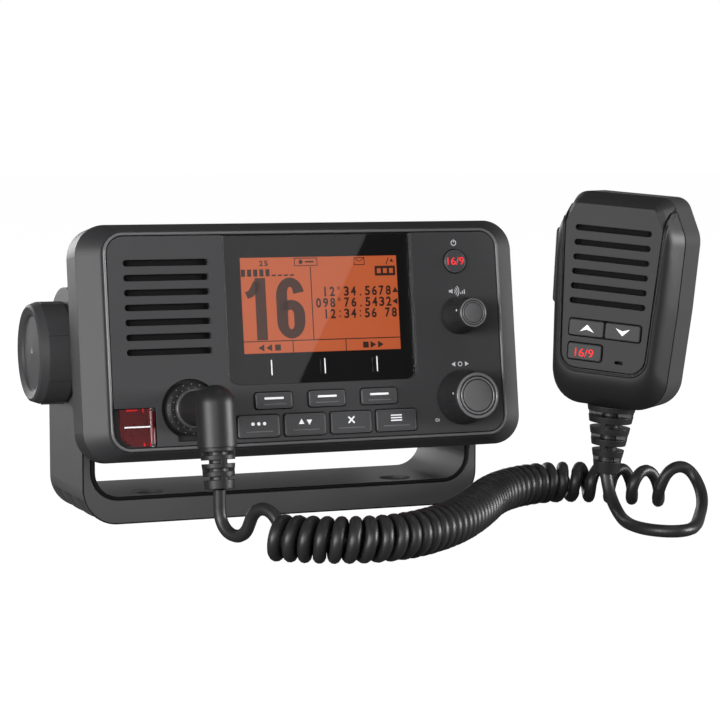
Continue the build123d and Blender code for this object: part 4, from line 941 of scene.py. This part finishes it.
def ring_of(piece, count, turn=0.0):
    """A piece and its copies, spaced evenly round the middle of the plane."""
    copies = [piece]
    for number in range(1, count):
        select_only(piece)
        bpy.ops.object.duplicate()
        copy = bpy.context.object
        copy.rotation_euler = (0, 0, 2 * math.pi * (number + turn) / count)
        copies.append(settle(copy))
    return copies


def knob_ribs(name, plane, base_radius, front_radius, count, body):
    """Low ribs along a knob's tapered side, one modelled and the others copied round it."""
    bpy.ops.mesh.primitive_cube_add(size=1, location=(0, 0, 0))
    rib = bpy.context.object
    rib.scale = (0.00036, 0.00022, 0.0066)
    settle(rib)
    round_edges(rib, 0.0001, 2)
    middle = (base_radius + front_radius) / 2 - (base_radius - front_radius) * 0.25
    rib.rotation_euler = (math.atan2((base_radius - front_radius) * 0.5, 7.5), 0, 0)
    rib.location = (0, middle / 1000, 0.0096)
    settle(rib)
    ribs = settle(joined(name, *ring_of(rib, count)), plane)
    carry(ribs, knob_rubber, body)


controls_x = 0.0586
volume_plane, select_plane = (face @ Matrix.Translation((controls_x, y / 1000, 0)) for y in (6.1, -24.4))
pointer_dot("volume_knob_dot", volume_plane, 5.55, 11.6, "volume_turn")
pointer_dot("select_knob_dot", select_plane, 8.75, 11.8, "select_turn")
knob_cap("volume_knob_cap", volume_plane, 5.4, "volume_turn")
knob_cap("select_knob_cap", select_plane, 8.6, "select_turn")
knob_ribs("volume_knob_ribs", volume_plane, 7.0, 5.4, 12, "volume_turn")
knob_ribs("select_knob_ribs", select_plane, 10.25, 8.6, 18, "select_turn")


# The distress key: a sprung red key in a well, under a clear red cover that hinges on a steel
# pin. The cover's edges and hinge tabs look brighter than its middle: bright red marks printed along them paint that
# light on.
distress_plastic = moulded("distress_plastic", (0.16, 0.008, 0.009), (0.22, 0.011, 0.012), 0.4)
dress(distress_plastic, "distress_key")
cover_plastic, cover_shade = start_material("cover_plastic")
cover_cloud = cover_shade.noise(220.0, 2.0)
cover_shade.surface(
    {
        "Base Color": cover_cloud.blend((0.30, 0.030, 0.034), (0.38, 0.040, 0.044)),
        "Transmission Weight": 0.82,
        "IOR": 1.49,
        "Roughness": 0.24 + 0.08 * cover_cloud,
    }
)
dress(cover_plastic, "distress_cover")
# bright red marks along the cover's edges: painted light, not print
painted_edge_light = ink("painted_edge_light", (0.75, 0.012, 0.018), 0.35)
painted_edge_lines = [bar(-68.9, -24.15, 4.2, 0.6), bar(-64.8, -24.3, 0.5, 1.3), bar(-62.5, -24.3, 0.5, 1.0)]
painted_edge_lines += [bar(x, -36.4, 0.5, 1.2) for x in (-64.8, -62.5)]
printed("cover_edge_marks", painted_edge_lines, face, 0.0, painted_edge_light, "cover")
printed("cover_bar", [bar(-67.1, -30.1, 9.4, 0.5)], face, 0.0, white_ink, "cover")


# The handset's plug: a keyed rubber body that turns down at a right angle, held in the socket by
# a knurled ring. The ring's two rows of studs are moulded with it; their pale grey is painted glints.
plug_rubber = moulded("plug_rubber", (0.013, 0.013, 0.014), (0.020, 0.020, 0.021), 0.42, shine=0.4)
socket_black = moulded("socket_black", (0.014, 0.014, 0.015), (0.022, 0.022, 0.023), 0.5)
dress(plug_rubber, "plug_elbow", "plug_strain_relief", "cable_gland", "handset_strain_relief")
dress(socket_black, "mic_socket", "plug_ring")


plug_plane = face @ Matrix.Translation((-0.0471, -0.0245, 0))


def stud_row(radius, height, count, turn):
    """Small domes round the ring, one modelled and the others copied."""
    bpy.ops.mesh.primitive_uv_sphere_add(segments=8, ring_count=6, radius=0.00026, location=(0, 0, 0))
    dome = bpy.context.object
    dome.scale = (1, 1, 0.7)
    dome.location = (radius / 1000, 0, height / 1000)
    settle(dome)
    bpy.ops.object.shade_smooth()
    return ring_of(dome, count, turn)


studs = stud_row(7.3, 2.6, 18, 0.0) + stud_row(8.8, 2.0, 18, 0.5)
ring_studs = settle(joined("plug_ring_studs", *studs), plug_plane)
# pale grey studs: painted glints on the black ring
carry(ring_studs, ink("stud_painted_glint", (0.17, 0.17, 0.175), 0.3), "ring")

# A rounded collar round the plug's neck, in a pale rubber: its brightness is a painted highlight.
bpy.ops.mesh.primitive_cylinder_add(vertices=64, radius=0.0071, depth=0.0022, location=(0, 0, 0.0048))
collar = settle(bpy.context.object)
collar.name = "plug_collar"
round_edges(collar, 0.0006, 4)
smooth(30)
settle(collar, plug_plane)
collar_painted_highlight = moulded("collar_painted_highlight", (0.060, 0.060, 0.062), (0.075, 0.075, 0.078), 0.34, shine=0.6)
carry(collar, collar_painted_highlight, "radio")


# The rear chassis: a finned aluminium casting with a black coat, the boards inside it, and the
# aerial socket and cable gland on its back.
coat = moulded("chassis_coat", (0.020, 0.020, 0.021), (0.032, 0.032, 0.034), 0.42, grain=1500.0, shine=0.5)
dress(coat, "rear_chassis")
dress(plated, "antenna_socket")
dress(soft_black, "microphone_capsule", "hang_button")
board_coat = moulded("board_coat", (0.004, 0.010, 0.007), (0.008, 0.018, 0.012), 0.5)
dress(board_coat, "main_board", "transmitter_board", "handset_board")


# The handset: two textured half shells screwed together, with a plate over the speaker.
shell = moulded("handset_plastic", (0.015, 0.015, 0.016), (0.023, 0.023, 0.024), 0.44)
rear_shell = moulded("rear_shell_plastic", (0.046, 0.046, 0.047), (0.062, 0.062, 0.064), 0.46)
plate_plastic = moulded("plate_plastic", (0.021, 0.021, 0.022), (0.031, 0.031, 0.033), 0.55)
dress(rear_shell, "handset_rear")
dress(plate_plastic, "handset_grille")
handset_rubber = moulded("handset_rubber", (0.030, 0.030, 0.031), (0.042, 0.042, 0.044), 0.5)
dress(handset_rubber, "handset_up_key", "handset_down_key", "handset_channel_key")
handset_turn = math.radians(48.3)
handset_roll = math.radians(4.7)
handset_outward = Vector((-math.sin(handset_turn), -math.cos(handset_turn), 0))
handset_across = Vector(
    (
        math.cos(handset_turn) * math.cos(handset_roll),
        -math.sin(handset_turn) * math.cos(handset_roll),
        -math.sin(handset_roll),
    )
)
handset_up = handset_outward.cross(handset_across)
handset = plane_at(Vector((0.0973, -0.0971, 0.0884)), handset_across, handset_up, handset_outward)
slot_pads("handset_cloth", handset, "handset", 0.0, 19.5, 5.3, 6, 28.8, 1.9, -1.9)


# The handset's front shell: its sides lean in to a rounded front that falls away in a full curve
# below the speaker plate. A fine lip runs round the plate, with a narrow groove inside it.
def rounded_chain(corners, steps=10):
    """Points along straight runs between corners given as x, y and radius, in millimetres."""
    points = []
    for number, (x, y, radius) in enumerate(corners):
        corner = Vector((x, y))
        if radius == 0:
            points.append(corner)
            continue
        incoming = (Vector(corners[number - 1][:2]) - corner).normalized()
        outgoing = (Vector(corners[number + 1][:2]) - corner).normalized()
        half = incoming.angle(outgoing) / 2
        centre = corner + (incoming + outgoing).normalized() * radius / math.sin(half)
        first = corner + incoming * radius / math.tan(half) - centre
        last = corner + outgoing * radius / math.tan(half) - centre
        for step in range(steps + 1):
            points.append(centre + first.lerp(last, step / steps).normalized() * radius)
    return points


def spaced(points, count):
    """The same line with count evenly spaced points."""
    lengths = [0.0]
    for a, b in zip(points, points[1:]):
        lengths.append(lengths[-1] + (b - a).length)
    places = []
    spot = 0
    for number in range(count):
        wanted = lengths[-1] * number / (count - 1)
        while spot < len(points) - 2 and lengths[spot + 1] < wanted:
            spot += 1
        share = (wanted - lengths[spot]) / (lengths[spot + 1] - lengths[spot])
        places.append(points[spot].lerp(points[spot + 1], share))
    return places


def shell_height(inward, reach):
    """How far below the plate the shell's surface lies, at a distance in from the outline."""
    if inward < 2.4:
        straight = -9.0 + inward * 6.4 / 2.4
    else:
        straight = min(0.0, -2.6 + (inward - 2.4) * 2.6 / 1.8)
    return min(straight, -9.0 * max(0.0, 1 - inward / reach) ** 2.4)


shell_edge = [(19.28, 29.3, 0), (24.3, 18.5, 12), (23.6, -8.0, 60), (21.4, -45.3, 11.5)]
shell_edge += [(-x, y, radius) for x, y, radius in reversed(shell_edge)]
plate_edge = [(19.28, 29.3, 0), (16.05, -31.55, 6.35), (-16.05, -31.55, 6.35), (-19.28, 29.3, 0)]
outer_line = spaced(rounded_chain(shell_edge), 170)
inner_line = spaced(rounded_chain(plate_edge), 170)
lip_places = []
bpy.ops.mesh.primitive_plane_add(size=1, location=(0, 0, 0))
front_shell = bpy.context.object
front_shell.name = "handset_front_shell"
bpy.ops.object.mode_set(mode="EDIT")
skin = bmesh.from_edit_mesh(front_shell.data)
bmesh.ops.delete(skin, geom=skin.verts, context="VERTS")
columns = []
for outer, inner in zip(outer_line, inner_line):
    breadth = (inner - outer).length
    if breadth < 0.8:
        continue
    reach = min(13.0, max(6.0, 0.95 * breadth))
    column = []
    for share in (0, 0.04, 0.08, 0.13, 0.19, 0.26, 0.34, 0.43, 0.52, 0.61, 0.7, 0.79, 0.87, 0.94, 1):
        place = outer.lerp(inner, share)
        column.append(Vector((place.x, place.y, shell_height(share * breadth, reach))))
    brim = column[-1]
    inside = Vector((inner.x, inner.y, shell_height(breadth, 6.0) - 2.45))
    column += [Vector((brim.x, brim.y, inside.z)), Vector((inside.x * 0.94, inside.y * 0.965, inside.z))]
    columns.append([skin.verts.new(place / 1000) for place in column])
    if breadth > 3.3:
        inset = 1 - 0.8 / breadth
        spot = outer.lerp(inner, inset)
        lip_places.append((spot.x / 1000, spot.y / 1000, shell_height(inset * breadth, reach) / 1000))
for a, b in zip(columns, columns[1:]):
    for low_a, high_a, low_b, high_b in zip(a, a[1:], b, b[1:]):
        skin.faces.new((low_a, low_b, high_b, high_a))
bmesh.ops.remove_doubles(skin, verts=skin.verts, dist=0.00002)
bmesh.ops.recalc_face_normals(skin, faces=skin.faces)
outward = sum(face_part.normal.z * face_part.calc_area() for face_part in skin.faces)
if outward < 0:
    bmesh.ops.reverse_faces(skin, faces=skin.faces)
bmesh.update_edit_mesh(front_shell.data)
bpy.ops.object.mode_set(mode="OBJECT")
wall = front_shell.modifiers.new("wall", "SOLIDIFY")
wall.thickness = 0.0012
wall.offset = -1
bpy.ops.object.modifier_apply(modifier=wall.name)
smooth(50)
plate_lip = jacket(routed_curve("plate_lip", lip_places, "POLY"), 0.00075)
settle(joined("handset_front_shell", front_shell, plate_lip), handset)
carry(front_shell, shell, "handset")
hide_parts("handset_front")


# The talk key: a soft rubber pad on the handset's side, rounded all round and gently domed.
talk_lean = Vector((-26.5, -0.7)).normalized()
talk_along = handset_across * talk_lean.y - handset_up * talk_lean.x
talk_outward = handset_across * talk_lean.x + handset_up * talk_lean.y
talk_centre = handset @ Vector((-0.0239, 0.0042, -0.0155))
talk_plane = plane_at(talk_centre, talk_along, talk_outward.cross(talk_along), talk_outward)
talk_pad = rounded_block("talk_key_pad", (0, 0, -0.95), (28.0, 9.4, 6.3), talk_plane, (1.8, 6), (1.3, 5))
smooth(30)
carry(talk_pad, handset_rubber, "talk")
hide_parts("talk_key")


# The marks printed on the handset's keys: an arrowhead up, one down, and the channel key's digits.
def arrowhead(x, y, width, height, pointing):
    """A triangle with a notched base: pointing is 1 for up and -1 for down."""
    bpy.ops.mesh.primitive_circle_add(vertices=4, radius=0.001, fill_type="NGON")
    shape = bpy.context.object
    tip, left, notch, right = (
        (x, y + pointing * height / 2),
        (x - width / 2, y - pointing * height / 2),
        (x, y - pointing * height * 0.16),
        (x + width / 2, y - pointing * height / 2),
    )
    for vertex, (across, upward) in zip(shape.data.vertices, (tip, left, notch, right)):
        vertex.co = (across / 1000, upward / 1000, 0)
    return shape


up_arrow = arrowhead(-6.6, -16.6, 5.5, 2.7, 1)
down_arrow = arrowhead(7.0, -16.6, 5.5, 2.7, -1)
channel_digits = digits("16/9", -10.5, -27.1, 7.1, 3.0, 0.004)
printed("handset_up_mark", [up_arrow], handset, key_top, white_ink, "handset_up")
printed("handset_down_mark", [down_arrow], handset, key_top, white_ink, "handset_down")
printed("handset_channel_digits", [channel_digits], handset, key_top, red_ink, "handset_channel")
